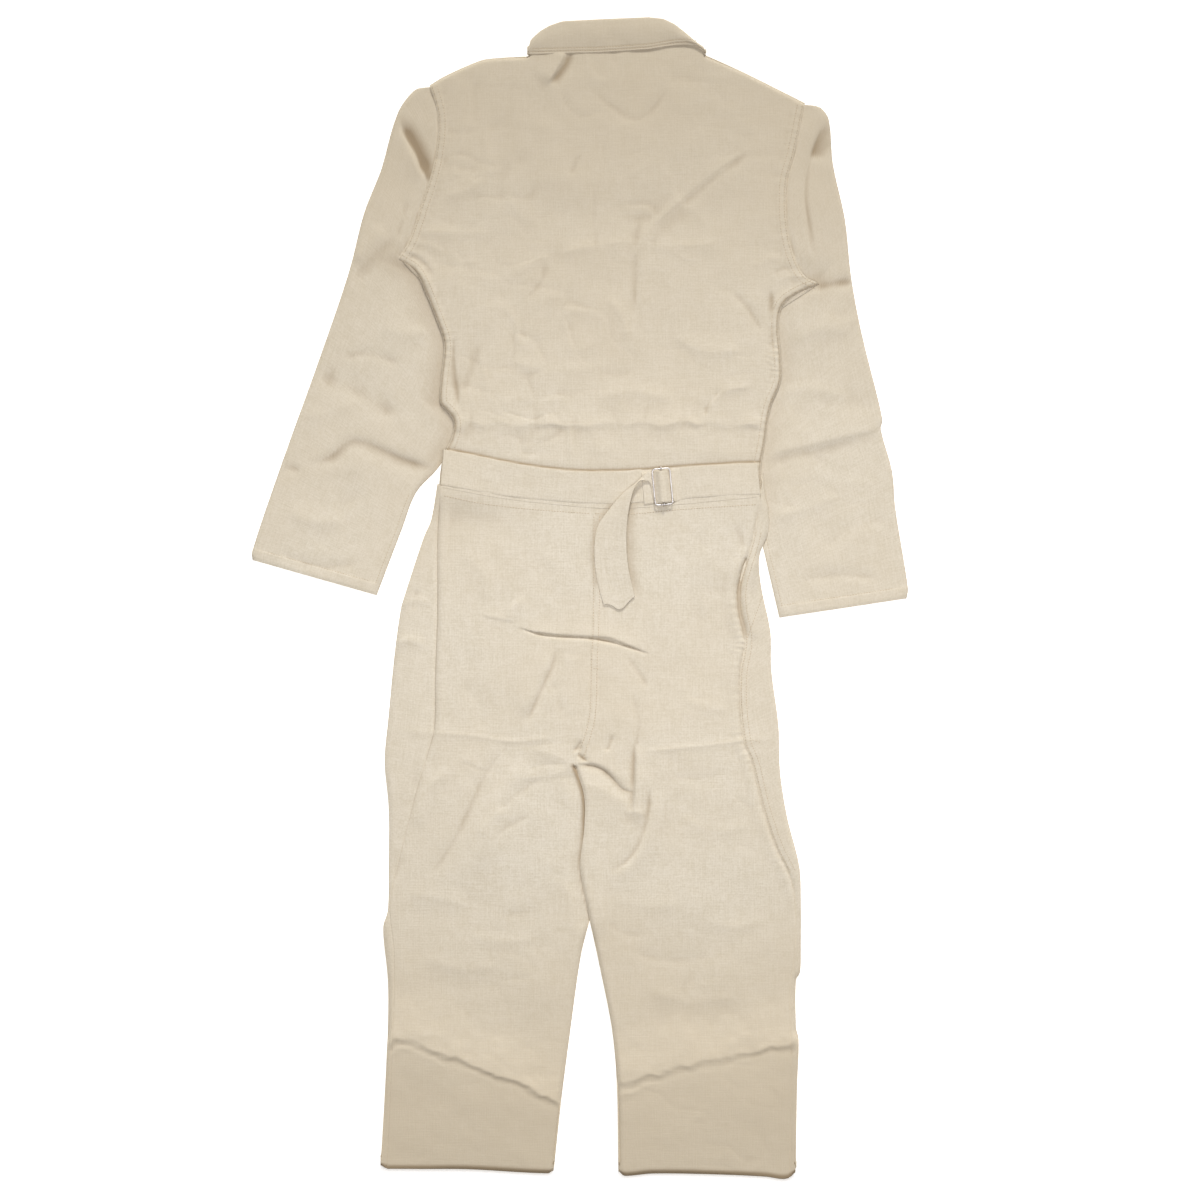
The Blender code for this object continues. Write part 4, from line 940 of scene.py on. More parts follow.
def build_placket():
    left, right = PLACKET

    def place(u, v):
        top = PLACKET_TOP[0] + (PLACKET_TOP[1] - PLACKET_TOP[0]) * u
        y = PLACKET_LOW + (top - PLACKET_LOW) * v
        outer = np.where(y < 112, LINES["fly"].x_at(y), right)
        x = left + (outer - left) * u
        ripple = 0.25 + 0.25 * noise(x, y, 30, 93)
        edge = np.minimum(x - left, outer - x)
        lift = 1.5 * smooth(475, 528, y)
        return x, y, lift + ripple * smooth(0, 8, edge)

    mesh = placed_grid("front_placket", across(56, 4.0), across(735, 5.0), place, (0.056, 0.735), turned=True)
    add_cloth("front_placket", mesh, thickness=FIRM_PLY)


# ---------------------------------------------------------------- sleeves


def build_sleeve(side):
    sign = -1 if side == "left" else 1
    inner, outer = LINES[f"sleeve_{side}_inner"], LINES[f"sleeve_{side}_outer"]
    armhole = LINES["armhole_" + side]
    cuff = Line([inner.points[0], (inner.points[0] + outer.points[0]) / 2, outer.points[0]], 2)

    def head(part):
        return armhole.at(part) + np.array([-sign * SLEEVE_TUCK, 0.0])

    start, end = inner.points[-1], outer.points[-1]
    first, last = head(np.zeros(1))[0], head(np.ones(1))[0]

    def inner_edge(part):
        part = np.asarray(part)
        return inner.at(part) + (first - start) * smooth(0.93, 1, part)[..., None]

    def outer_edge(part):
        part = np.asarray(part)
        return outer.at(part) + (last - end) * smooth(0.96, 1, part)[..., None]

    def place(u, v):
        upper = u <= 0.5
        share = np.where(upper, 2 * u, 2 - 2 * u)
        x, y = patch(inner_edge, outer_edge, cuff.at, head, share, v)
        near_edge = distance(x, y, f"sleeve_{side}_inner", f"sleeve_{side}_outer")
        near_edge = near_edge * (1 - (share <= 0) - (share >= 1))
        cuff_away = np.abs(cuff.near(x, y)[0])
        hem = 0.5 * (1 - smooth(CUFF_STITCH + 0.5, CUFF_STITCH + 2.5, cuff_away))
        hem = hem - 0.55 * np.exp(-((cuff_away - CUFF_STITCH) / 1.3) ** 2)
        ripples = np.sin(share * 41 + 3 * noise(share * 20, v * 0, 3, 8))
        hem = hem + 0.25 * (1 - smooth(9, 20, cuff_away)) * ripples
        top = np.maximum(sleeve_top(side, x, y), 2.1) + hem - 0.6 * (1 - smooth(0, 4, cuff_away))
        ripple = np.maximum(0, 0.4 * noise(x, y, 50, 95) + creases(x, y, UNDER_CREASES))
        ripple = ripple * smooth(3, 25, near_edge)
        z = rounded(near_edge, 1.5, np.where(upper, top, ripple))
        # painted shade: a dark wedge on the left sleeve's cap beside the armhole, and shade on the sleeve
        # beside the torso's raised edge
        wedge = LINES["wedge_left"].near(x, y)[0]
        wedge = 0.85 * smooth(22, 2, wedge) * smooth(-2.5, 1.5, wedge) * smooth(514, 528, y)
        wedge = wedge * smooth(618, 560, y) * (side == "left")
        torso_side = LINES["torso_" + side].near(x, y)[0]
        beside_torso = (0.3 if side == "left" else 0.13) * np.exp(-(torso_side / 20) ** 2)
        return x, y, z, (crease_shade(x, y, SLEEVE_CREASES[side]) + wedge + beside_torso) * upper

    top_columns = across(160, settings().mesh_step)
    bottom_columns = across(160, 2.2 * settings().mesh_step)
    columns = np.concatenate([top_columns / 2, 1 - bottom_columns[::-1][1:] / 2])
    rows = closer(across(630, 1.08 * settings().mesh_step, (True, False)), 630, [(10, 19)], 1.3)
    mesh = placed_grid("sleeve_" + side, columns, rows, place, (0.36, 0.63), turned=side == "left", ring=True)
    add_cloth("sleeve_" + side, mesh)


# ---------------------------------------------------------------- legs


SLITS = {"left": "under_slit_left", "right": "slit"}     # the left leg runs on a little under the right one


def leg_edges(side):
    """Inner edge, seam and outer edge of a leg from the waist down: a function of a share, and two lines."""
    inner = joined([LINES["centre"], LINES[SLITS[side]], LINES[f"leg_{side}_inner"]], LEG_SHARES)
    return inner, LINES[f"leg_{side}_seam"], LINES[f"leg_{side}_outer"]


def inner_distance(side, x, y):
    """Distance from a leg's free inner edge; far above the crotch."""
    return distance(x, y, SLITS[side], f"leg_{side}_inner") + 60 * smooth(FORK - 4, FORK + 6, y)


def slit_lift(side, x, y):
    """Height that the right leg's hidden side gains where its edge lies on the left leg."""
    return 2.6 * over_slit(x, y) * (side == "right")


def bottom_edge(side, far):
    """The bottom fold from the inner edge out to another edge."""
    line = LINES[f"leg_{side}_bottom"]
    start = line.points[0, 0]

    def edge(part):
        x = start + (far - start) * np.asarray(part)
        return np.stack([x, line.y_at(x)], axis=-1)
    return edge


def leg_patch(side, low, high, waist_end, far, u, v):
    """Plan of a leg's panel from the centre seam to waist_end at the waist and to far at the bottom fold."""
    return patch(low, high, waist_edge(CROTCH_X, waist_end), bottom_edge(side, far), u, v)


def corner_lift(side_distance, bottom_distance):
    """How far cloth near a corner of the bottom fold is drawn up, which rounds the corner."""
    return 3.6 * (1 - smooth(0, 7, side_distance)) * (1 - smooth(0, 12, bottom_distance))


def build_back_leg(side):
    inner, seam_line, _ = leg_edges(side)
    waist_end, far = seam_line.points[0, 0], seam_line.points[-1, 0]
    radius = (LEG_END_LIFT + TUBE_TOP) / 2
    reach_in, reach_out = HEM_REACH[side]
    length = LINES["leg_left_outer"].length

    def place(u, v):
        above = v < FOLD_SHARE
        past = np.maximum(v - FOLD_SHARE, 0) / (1 - FOLD_SHARE)
        turn = np.clip(past / TURN_SHARE, 0, 1)
        flap = np.clip((past - TURN_SHARE) / (1 - TURN_SHARE), 0, 1)
        reach = (reach_in + (reach_out - reach_in) * u) * flap
        mirrored = np.clip(1 - (reach + radius * (1 - np.cos(math.pi / 2 * turn))) / length, 0, 1)
        along = np.where(above, np.clip(v / FOLD_SHARE, 0, 1), mirrored)
        x, y = leg_patch(side, inner, seam_line.at, waist_end, far, u, along)
        x, y = drawn_together(x, y, u, v, [LEG_CREASES])
        edge = np.where(u <= 0, 60 * smooth(FORK - 4, FORK + 6, y), inner_distance(side, x, y))
        middle = 2.2 + slit_lift(side, x, y) + LEG_END_LIFT / 2 * leg_lift(side, x, y)
        top = np.maximum(leg_top(side, x, y), 2.3 + slit_lift(side, x, y))
        upper = rounded(edge, middle, top)
        bottom_y = LINES[f"leg_{side}_bottom"].y_at(x)
        curved = radius + (upper - radius) * quarter_circle(np.clip((y - bottom_y) / BOTTOM_CURVE, 0, 1))
        upper = np.where(v / FOLD_SHARE > 0.94, curved, upper)
        y = y + corner_lift(inner_distance(side, x, y), y - bottom_y)
        lower = radius - radius * quarter_circle(np.clip((y - bottom_y) / radius, 0, 1))
        lower = lower + 0.25 * flap * (1 + noise(x, y, 40, 97))
        z = np.where(v <= FOLD_SHARE, upper, lower)
        # painted shade: a dark gap left of the slit under the right leg's edge, a dark line at the slit's
        # foot, and a dark rim along the bottom fold
        slit = LINES["slit"].near(x, y)[0]
        gap = smooth(-6.5, -1, slit) * smooth(3, 1, slit) * smooth(FORK + 3, FORK - 6, y)
        gap = gap * smooth(-350, -230, y)
        foot = 0.5 * smooth(3, 0, np.abs(slit)) * smooth(FORK, FORK - 8, y) * smooth(-405, -380, y)
        shade = crease_shade(x, y, LEG_CREASES) * above + (tail_shade(x, y) + pocket_shade(x, y)) * above
        return x, y, z, shade + smooth(8.5, 2.5, y - bottom_y) + (gap + foot) * (side == "left")

    step = settings().mesh_step * 1.12
    rows = closer(across(855, step), 855, [(128, 196), (288, 400), (665, 757)], 1.65) * FOLD_SHARE
    past_fold = np.concatenate([np.linspace(0, TURN_SHARE, 7)[1:], np.linspace(TURN_SHARE, 1, 22)[1:]])
    rows = np.concatenate([rows, FOLD_SHARE + (1 - FOLD_SHARE) * past_fold])
    mesh = placed_grid("back_leg_" + side, across(225, step), rows, place, PLAN, turned=side == "right")
    add_cloth("back_leg_" + side, mesh)


def build_front_leg(side):
    inner, seam_line, outer = leg_edges(side)
    waist_end, far = outer.points[0, 0], outer.points[-1, 0]

    def place(u, v):
        strip = u < STRIP_SHARE
        share = np.clip(u / STRIP_SHARE, 0, 1)
        low = seam_line.at(v)
        high = outer.at(v)
        strip_x = low[:, 0] + (high[:, 0] - low[:, 0]) * share
        strip_y = low[:, 1] + (high[:, 1] - low[:, 1]) * share
        under = np.clip((1 - u) / (1 - STRIP_SHARE), 0, 1)
        under_x, under_y = leg_patch(side, inner, outer.at, waist_end, far, under, v)
        x, y = np.where(strip, strip_x, under_x), np.where(strip, strip_y, under_y)
        edge = np.abs(outer.near(x, y)[0]) * (np.abs(u - STRIP_SHARE) > 1e-6)
        middle = 2.3 + COVER_LIFT * sleeve_cover(x, y) + LEG_END_LIFT * leg_lift(side, x, y)
        top = np.maximum(leg_top(side, x, y) - 0.5 * np.exp(-(seam_line.near(x, y)[0] / 2.0) ** 2), 2.1)
        bottom_y = LINES[f"leg_{side}_bottom"].y_at(x)
        droop = quarter_circle(np.clip((y - bottom_y - 0.8) / BOTTOM_CURVE, 0, 1))
        upper = 4.6 + (rounded(edge, middle, top, 7.0) - 4.6) * droop
        ripple = np.maximum(0, 0.4 * noise(x, y, 60, 99) + creases(x, y, UNDER_CREASES))
        free_edge = np.minimum(edge, inner_distance(side, x, y))
        sunk = 1.7 * smooth(0, 150, -LINES["ridge_" + side].near(x, y)[0])
        flat = (COVER_LIFT * sleeve_cover(x, y) + (LEG_END_LIFT + 0.3) * leg_lift(side, x, y) - sunk
                + slit_lift(side, x, y) + ripple * smooth(4, 24, free_edge))
        lower = rounded(free_edge, middle + slit_lift(side, x, y), flat)
        # painted shade: a dark rim along the bottom fold, and the pocket slit's shade on the strip
        shade = smooth(8.5, 2.5, y - bottom_y) + pocket_shade(x, y) * (u <= STRIP_SHARE + 1e-9)
        y = y + corner_lift(distance(x, y, f"leg_{side}_outer"), y - bottom_y)
        drawn_in = np.where(strip, 0.8, 12.0) * smooth(0.97, 1, v)
        return x, y + drawn_in, np.where(u <= STRIP_SHARE + 1e-9, upper, lower), shade

    step = settings().mesh_step
    under_columns = STRIP_SHARE + across(250, 2.4 * step) * (1 - STRIP_SHARE)
    columns = np.concatenate([across(42, step) * STRIP_SHARE, under_columns[1:]])
    mesh = placed_grid("front_leg_" + side, columns, across(855, 1.2 * step), place, (0.30, 0.86),
                       turned=side == "right")
    add_cloth("front_leg_" + side, mesh)


def build_leg_fold(side):
    """The hidden plies of a turned-under leg end, one folded tube."""
    sign = -1 if side == "left" else 1
    inner, outer = LINES[f"leg_{side}_inner"], LINES[f"leg_{side}_outer"]
    reach_in, reach_out = HEM_REACH[side]
    bottom = LINES[f"leg_{side}_bottom"]

    def place(u, v):
        around = u * 2
        upper = around < 1
        share = np.where(upper, around, 2 - around)
        y_in = bottom.y_at(inner.points[-1, 0]) + 6 + (reach_in - 14) * v
        y_out = bottom.y_at(outer.points[-1, 0]) + 6 + (reach_out - 14) * v
        y = y_in + (y_out - y_in) * share
        x_in, x_out = inner.x_at(y) + 2 * sign, outer.x_at(y) - 2 * sign
        x = x_in + (x_out - x_in) * share
        edge = np.minimum(share, 1 - share) * 220
        flat = np.where(upper, 2.85 + 1.3 * v, 1.4 + 0.15 * v)
        return x, y, rounded(edge, 2.1 + 0.7 * v, flat, 3.0) + 0.12 * noise(x, y, 18, 101)

    top = across(220, 8.0) / 2
    columns = np.concatenate([top, 1 - top[::-1][1:]])
    mesh = placed_grid("leg_fold_" + side, columns, np.linspace(0, 1, 16), place, (0.44, 0.15),
                       turned=side == "left", ring=True)
    add_cloth("leg_fold_" + side, mesh)


# ---------------------------------------------------------------- collar


def collar_line(table, x):
    """Plan heights of the leaf's lower edge and of the roll, from one of the collar's tables."""
    rows = np.array(sorted(table), float)
    return np.interp(x, rows[:, 0], rows[:, 1]), np.interp(x, rows[:, 0], rows[:, 2])


def leaf_stitches(away):
    """1 on the leaf's two stitch rows, by the distance from its edge."""
    first, second = COLLAR_STITCHES
    return np.exp(-((away - first) / 0.9) ** 2) + np.exp(-((away - second) / 0.9) ** 2)


def collar_leaf(x, share):
    """Upper side of the leaf at the back, from its lower edge (0) to the roll (1)."""
    low, roll = collar_line(COLLAR_BACK, x)
    y = low + (roll - COLLAR_ROLL - low) * share
    crown = 1.9 * np.sin(math.pi * np.clip(share, 0, 1) ** 1.3) + 0.35 * noise(x, y, 14, 111)
    crown = crown + 0.35 * noise(x, y, 40, 112) + 0.35 * (1 - smooth(5.5, 7.5, y - low))
    lift = 0.5 * smooth(0, 10, np.minimum(x - COLLAR_ENDS[0], COLLAR_ENDS[1] - x))
    return 2 * COLLAR_LOW_Z + crown + lift - 0.35 * leaf_stitches(y - low)


def build_collar():
    left_end, right_end = COLLAR_ENDS
    # Points round the neck: x, the angle round the folded end that the leaf faces, and the part of the collar
    path = [(x, -90.0, 0) for x in np.linspace(16, left_end + 4, 30)]
    path += [(left_end, angle, 0) for angle in np.linspace(-112, -248, 8)]
    path += [(x, -270.0, 1) for x in np.linspace(left_end + 4, right_end - 4, 100)]
    path += [(right_end, angle, 2) for angle in np.linspace(-292, -428, 8)]
    path += [(x, -450.0, 2) for x in np.linspace(right_end - 4, 74, 36)]
    path = np.array(path, float)
    neck_points = np.vstack([LINES["neck_left"].points, LINES["neck_right"].points])

    def place(u, v):
        i = np.rint(v * (len(path) - 1)).astype(int)
        x, angle, part = path[i, 0], np.radians(path[i, 1]), path[i, 2]
        at_back = np.abs(np.sin(angle) - 1) < 0.3
        at_left, at_right = collar_line(COLLAR_FRONT_LEFT, x), collar_line(COLLAR_FRONT_RIGHT, x)
        leaf, roll_y = np.where(at_back, collar_line(COLLAR_BACK, x), np.where(part == 0, at_left, at_right))
        front_neck = np.interp(x, neck_points[:, 0], neck_points[:, 1])
        neck = np.where(at_back, LINES["back_neck"].y_at(x), front_neck) + 2
        fall = np.clip(u / 0.5, 0, 1)
        turn = math.pi * np.clip((u - 0.5) / 0.2, 0, 1)
        stand = np.clip((u - 0.7) / 0.3, 0, 1)
        crest = roll_y - COLLAR_ROLL
        y = np.where(u <= 0.5, leaf + (crest - leaf) * fall, crest + COLLAR_ROLL * np.sin(turn))
        y = np.where(u > 0.7, crest + (np.minimum(neck, crest - 1) - crest) * stand, y)
        depth = np.where(u <= 0.5, COLLAR_LOW_Z, COLLAR_LOW_Z - COLLAR_ROLL + COLLAR_ROLL * np.cos(turn))
        squeeze = np.clip(np.minimum(x - left_end, right_end - x) / 14, 0, 1)
        middle = x + np.where(part == 0, COLLAR_LOW_Z, -COLLAR_LOW_Z) * (1 - squeeze) * (part != 1)
        px = np.where(part == 1, x, middle + depth * np.cos(angle))
        z = COLLAR_LOW_Z + depth * np.sin(angle)
        on_leaf = at_back & (u <= 0.5)
        z = np.where(on_leaf, collar_leaf(x, fall), z)
        # painted shade in the leaf's stitch grooves
        return px, y, z, 0.3 * leaf_stitches(y - leaf) * on_leaf

    columns = np.concatenate([np.linspace(0, 0.12, 12), np.linspace(0.12, 0.5, 16)[1:],
                              np.linspace(0.5, 0.7, 8)[1:], np.linspace(0.7, 1, 9)[1:]])
    mesh = placed_grid("collar", columns, np.linspace(0, 1, len(path)), place, (0.09, 0.42), turned=True)
    add_cloth("collar", mesh)


# ---------------------------------------------------------------- belt and slider


def slider_point(along, up):
    """Plan point at a distance along the belt from the slider's middle and a distance across the belt."""
    x, y = SLIDER_CENTRE
    cosine, sine = math.cos(SLIDER_TILT), math.sin(SLIDER_TILT)
    return x + along * cosine - up * sine, y + along * sine + up * cosine


def strap_row(along, z):
    return BeltRow(*slider_point(along, -BELT_HALF), *slider_point(along, BELT_HALF), z, z)


def resting_row(low_x, low_y, high_x, high_y):
    """A belt row on the garment: its lower edge is sewn down, its upper edge stands free."""
    low, high = bodice_top(np.array([low_x, high_x], float), np.array([low_y, high_y], float))
    return BeltRow(low_x, low_y, high_x, high_y, low + 0.5, high + 1.5)


def strap_mesh(name, rows, turned, pointed):
    """A belt half's strip through rows; its ends are the first and last row."""
    table = np.array(rows, float)
    knots = np.concatenate([[0], np.cumsum(np.linalg.norm(np.diff(table, axis=0), axis=1))])
    slopes = chord_slopes(table, knots)
    count = max(8, round(knots[-1] / 1.7))
    marks = np.linspace(0, 1, count + 1)

    def place(u, v):
        reach = v * knots[-1]
        i = np.clip(np.searchsorted(knots, reach, side="right") - 1, 0, len(knots) - 2)
        width = (knots[i + 1] - knots[i])[:, None]
        row = between(table, slopes, i, width, (reach - knots[i])[:, None] / width)
        x = row[:, 0] + (row[:, 2] - row[:, 0]) * u
        y = row[:, 1] + (row[:, 3] - row[:, 1]) * u
        z = row[:, 4] + (row[:, 5] - row[:, 4]) * u
        if pointed:
            y = y - smooth(0.955, 1.0, v) * 12 * np.exp(-((u - 0.45) / 0.28) ** 2)
        edge = np.minimum(u, 1 - u) * 40
        z = z - 0.3 * (1 - smooth(0, 1.6, edge)) + 0.2 * noise(x, y, 16, 121) + 0.12 * noise(x, y, 6, 122)
        return x, y, z

    return placed_grid(name, across(40, 1.8), marks, place, (0.04, 0.33), turned=turned)


def build_belts():
    rows = [resting_row(*row) for row in BELT_LEFT_ROWS]
    rows += [strap_row(along, z) for along, z in LOOP_PATH]
    for degrees in (-80, -45, -10, 25, 60, 95):
        angle = math.radians(degrees)
        rows.append(strap_row(BAR_LOOP * math.cos(angle), SLIDER_HEIGHT + BAR_LOOP * math.sin(angle)))
    rows += [strap_row(along, z - PLY) for along, z in LOOP_BACK]
    mesh = strap_mesh("belt_left", rows, turned=True, pointed=False)
    add_cloth("belt_left", mesh, thickness=FIRM_PLY)
    rows = [resting_row(*row) for row in BELT_RIGHT_ROWS]
    rows += [strap_row(along, z) for along, z in STRAP_PATH]
    mesh = strap_mesh("belt_right", rows + TAIL, turned=False, pointed=True)
    add_cloth("belt_right", mesh, thickness=FIRM_PLY)


def wire_mesh(name, points, radius, closed):
    """A round wire along points."""
    curve = bpy.data.curves.new(name, "CURVE")
    curve.dimensions = "3D"
    curve.bevel_depth = radius * MM
    curve.bevel_resolution = 5
    curve.use_fill_caps = not closed
    line = curve.splines.new("POLY")
    line.points.add(len(points) - 1)
    for point, place in zip(line.points, points):
        point.co = [value * MM for value in place] + [1.0]
    line.use_cyclic_u = closed
    made = bpy.data.objects.new(name, curve)
    bpy.context.scene.collection.objects.link(made)
    mesh = bpy.data.meshes.new_from_object(made.evaluated_get(bpy.context.evaluated_depsgraph_get()))
    bpy.data.objects.remove(made)
    mesh.name = name
    mesh.shade_smooth()
    return mesh


def build_slider():
    sizes = bpy.context.scene.jumpsuit_slider
    half_width, half_length = sizes.width * 500, sizes.length * 500
    corner, radius = sizes.corner * 1000, sizes.wire * 500
    points = []
    for across_sign, up_sign, start in ((1, 1, 0), (-1, 1, 90), (-1, -1, 180), (1, -1, 270)):
        for step in range(8):
            angle = math.radians(start + 90 / 7 * step)
            along = across_sign * (half_width - corner) + corner * math.cos(angle)
            up = up_sign * (half_length - corner) + corner * math.sin(angle)
            points.append((*slider_point(along, up), SLIDER_HEIGHT))
    finish = bpy.data.materials["slider_steel"]
    frame_mesh = wire_mesh("slider_wire", points, radius, True)
    add_piece("slider_wire", frame_mesh, finish, ["slider_frame"])
    shape = bmesh.new()
    bar = [(*slider_point(0, end * half_length), SLIDER_HEIGHT) for end in (-1, 1)]
    shape.from_mesh(wire_mesh("bar", bar, 1.0, False))
    for end in (-1, 1):
        ring = []
        for angle in np.arange(14) * (2 * math.pi / 14):
            x, y = slider_point(0, end * (half_length + RING_RADIUS * math.cos(angle)))
            ring.append((x, y, SLIDER_HEIGHT + RING_RADIUS * math.sin(angle)))
        shape.from_mesh(wire_mesh("ring", ring, 0.85, True))
    mesh = finished(shape, "slider_bar")
    mesh.shade_smooth()
    add_piece("slider_centre_bar", mesh, finish, ["slider_bar"])


# ---------------------------------------------------------------- stitching


def stitch_row(shape, line, surface, pitch, length, radius):
    """Stitches at a pitch along a plan line, each a small rounded body that lies in the cloth."""
    count = max(2, int(line.length / pitch))
    marks = (np.arange(count) + 0.5) / count
    places = line.at(marks)
    ahead = line.at(np.clip(marks + 0.3 / line.length, 0, 1))
    heights = surface(places[:, 0], places[:, 1])
    next_heights = surface(ahead[:, 0], ahead[:, 1])
    for here, there, z, z_ahead in zip(places, ahead, heights, next_heights):
        direction = Vector((there[0] - here[0], there[1] - here[1], z_ahead - z))
        if direction.length < 1e-6:
            continue
        turn = direction.to_track_quat("X", "Z").to_matrix().to_4x4()
        size = Matrix.Diagonal((length / 2 * MM, radius * MM, radius * 0.8 * MM, 1))
        place = Matrix.Translation(Vector((here[0] * MM, here[1] * MM, (z + 0.05) * MM)))
        bmesh.ops.create_icosphere(shape, subdivisions=1, radius=1.0, matrix=place @ turn @ size)


def beside(line, gap, low, high):
    """A line moved to its left by a gap, between two shares of its length."""
    marks = np.linspace(low, high, 40)
    points = line.at(marks)
    steps = np.gradient(points, axis=0)
    steps = steps / np.linalg.norm(steps, axis=1)[:, None]
    return Line(points + gap * np.stack([-steps[:, 1], steps[:, 0]], axis=1), 2)


def add_stitches(name, rows):
    cloth = settings()
    shape = bmesh.new()
    for line, surface in rows:
        stitch_row(shape, line, surface, cloth.stitch_pitch * 1000, cloth.stitch_length * 1000,
                   cloth.thread_width * 500)
    mesh = finished(shape, name)
    mesh.shade_smooth()
    add_piece(name, mesh, bpy.data.materials["linen_thread"])


def leaf_top(x, y):
    """Upper side of the collar's leaf at a plan point."""
    low, roll = collar_line(COLLAR_BACK, x)
    return collar_leaf(x, (y - low) / np.maximum(roll - COLLAR_ROLL - low, 1))


def build_stitching():
    def right_leg(x, y):
        return leg_top("right", x, y)

    def left_leg(x, y):
        return leg_top("left", x, y)

    rows = []
    for name, side, start in (("torso_left", -1, 0.03), ("torso_right", 1, 0.03),
                              ("armhole_left", -1, 0.02), ("armhole_right", 1, 0.02)):
        rows += [(beside(LINES[name], side * gap, start, 0.985), bodice_top) for gap in SEAM_STITCHES]
    leaf_edge = np.array(COLLAR_BACK, float)[1:-1, :2]
    rows += [(Line(leaf_edge + (0, gap)), leaf_top) for gap in COLLAR_STITCHES]
    add_stitches("stitches_bodice", rows)

    rows = [(beside(LINES["centre"], gap, 0.03, 0.97), right_leg) for gap in (2.4, 9.4)]
    rows += [(beside(LINES["leg_right_seam"], gap, 0.05, 0.56), right_leg) for gap in SEAM_STITCHES]
    rows += [(Line(points), right_leg) for points in TACKS]
    rows += [(Line(WAIST_STITCHES_LEFT), left_leg), (Line(WAIST_STITCHES_RIGHT), right_leg)]
    add_stitches("stitches_legs", rows)

    rows, seams = [], []
    for side, gap, end in (("left", 6.5, 0.3), ("right", -6.5, 0.32)):
        inner, outer = LINES[f"sleeve_{side}_inner"], LINES[f"sleeve_{side}_outer"]
        start, end_point = inner.at(CUFF_STITCH / inner.length), outer.at(CUFF_STITCH / outer.length)
        cuff = [start + (end_point - start) * share for share in (0.03, 0.97)]

        def surface(x, y, side=side):
            return sleeve_top(side, x, y) - 0.1

        rows.append((Line(cuff), surface))
        seams.insert(0, (beside(inner, gap, 0.02, end), surface))
    add_stitches("stitches_sleeves", rows + seams)


# ---------------------------------------------------------------- materials


def link(tree, source, target):
    tree.links.new(source, target)


def math_node(tree, operation, first, second):
    node = tree.nodes.new("ShaderNodeMath")
    node.operation = operation
    for socket, value in zip(node.inputs, (first, second)):
        if isinstance(value, (int, float)):
            socket.default_value = value
        else:
            link(tree, value, socket)
    return node.outputs[0]


def noise_node(tree, place, scale, detail=3.0, stretch=(1, 1, 1)):
    mapping = tree.nodes.new("ShaderNodeMapping")
    mapping.inputs["Scale"].default_value = stretch
    link(tree, place, mapping.inputs["Vector"])
    node = tree.nodes.new("ShaderNodeTexNoise")
    node.inputs["Scale"].default_value = scale
    node.inputs["Detail"].default_value = detail
    link(tree, mapping.outputs[0], node.inputs["Vector"])
    return node.outputs["Fac"]


def ranged(tree, value, low, high, to_low, to_high):
    node = tree.nodes.new("ShaderNodeMapRange")
    for name, number in (("From Min", low), ("From Max", high), ("To Min", to_low), ("To Max", to_high)):
        node.inputs[name].default_value = number
    link(tree, value, node.inputs["Value"])
    return node.outputs["Result"]


def mixed(tree, share, first, second):
    node = tree.nodes.new("ShaderNodeMix")
    node.data_type = "RGBA"
    link(tree, share, node.inputs["Factor"])
    for name, value in (("A", first), ("B", second)):
        socket = next(s for s in node.inputs if s.name == name and s.type == "RGBA")
        if isinstance(value, tuple):
            socket.default_value = value
        else:
            link(tree, value, socket)
    return next(s for s in node.outputs if s.type == "RGBA")


def weighted(tree, first, first_weight, second, second_weight):
    """The sum of two values, each times its weight."""
    first = math_node(tree, "MULTIPLY", first, first_weight)
    second = math_node(tree, "MULTIPLY", second, second_weight)
    return math_node(tree, "ADD", first, second)


def new_finish(name):
    """A new material: its nodes, its shader and the place on the piece that its patterns follow."""
    made = bpy.data.materials.new(name)
    made.use_nodes = True
    tree = made.node_tree
    return tree, tree.nodes["Principled BSDF"], tree.nodes.new("ShaderNodeTexCoord").outputs["Object"]


def add_relief(tree, shader, height, strength, depth):
    """Small relief in the surface, depth metres from its lowest to its highest."""
    bump = tree.nodes.new("ShaderNodeBump")
    bump.inputs["Strength"].default_value = strength
    bump.inputs["Distance"].default_value = depth
    link(tree, height, bump.inputs["Height"])
    link(tree, bump.outputs[0], shader.inputs["Normal"])


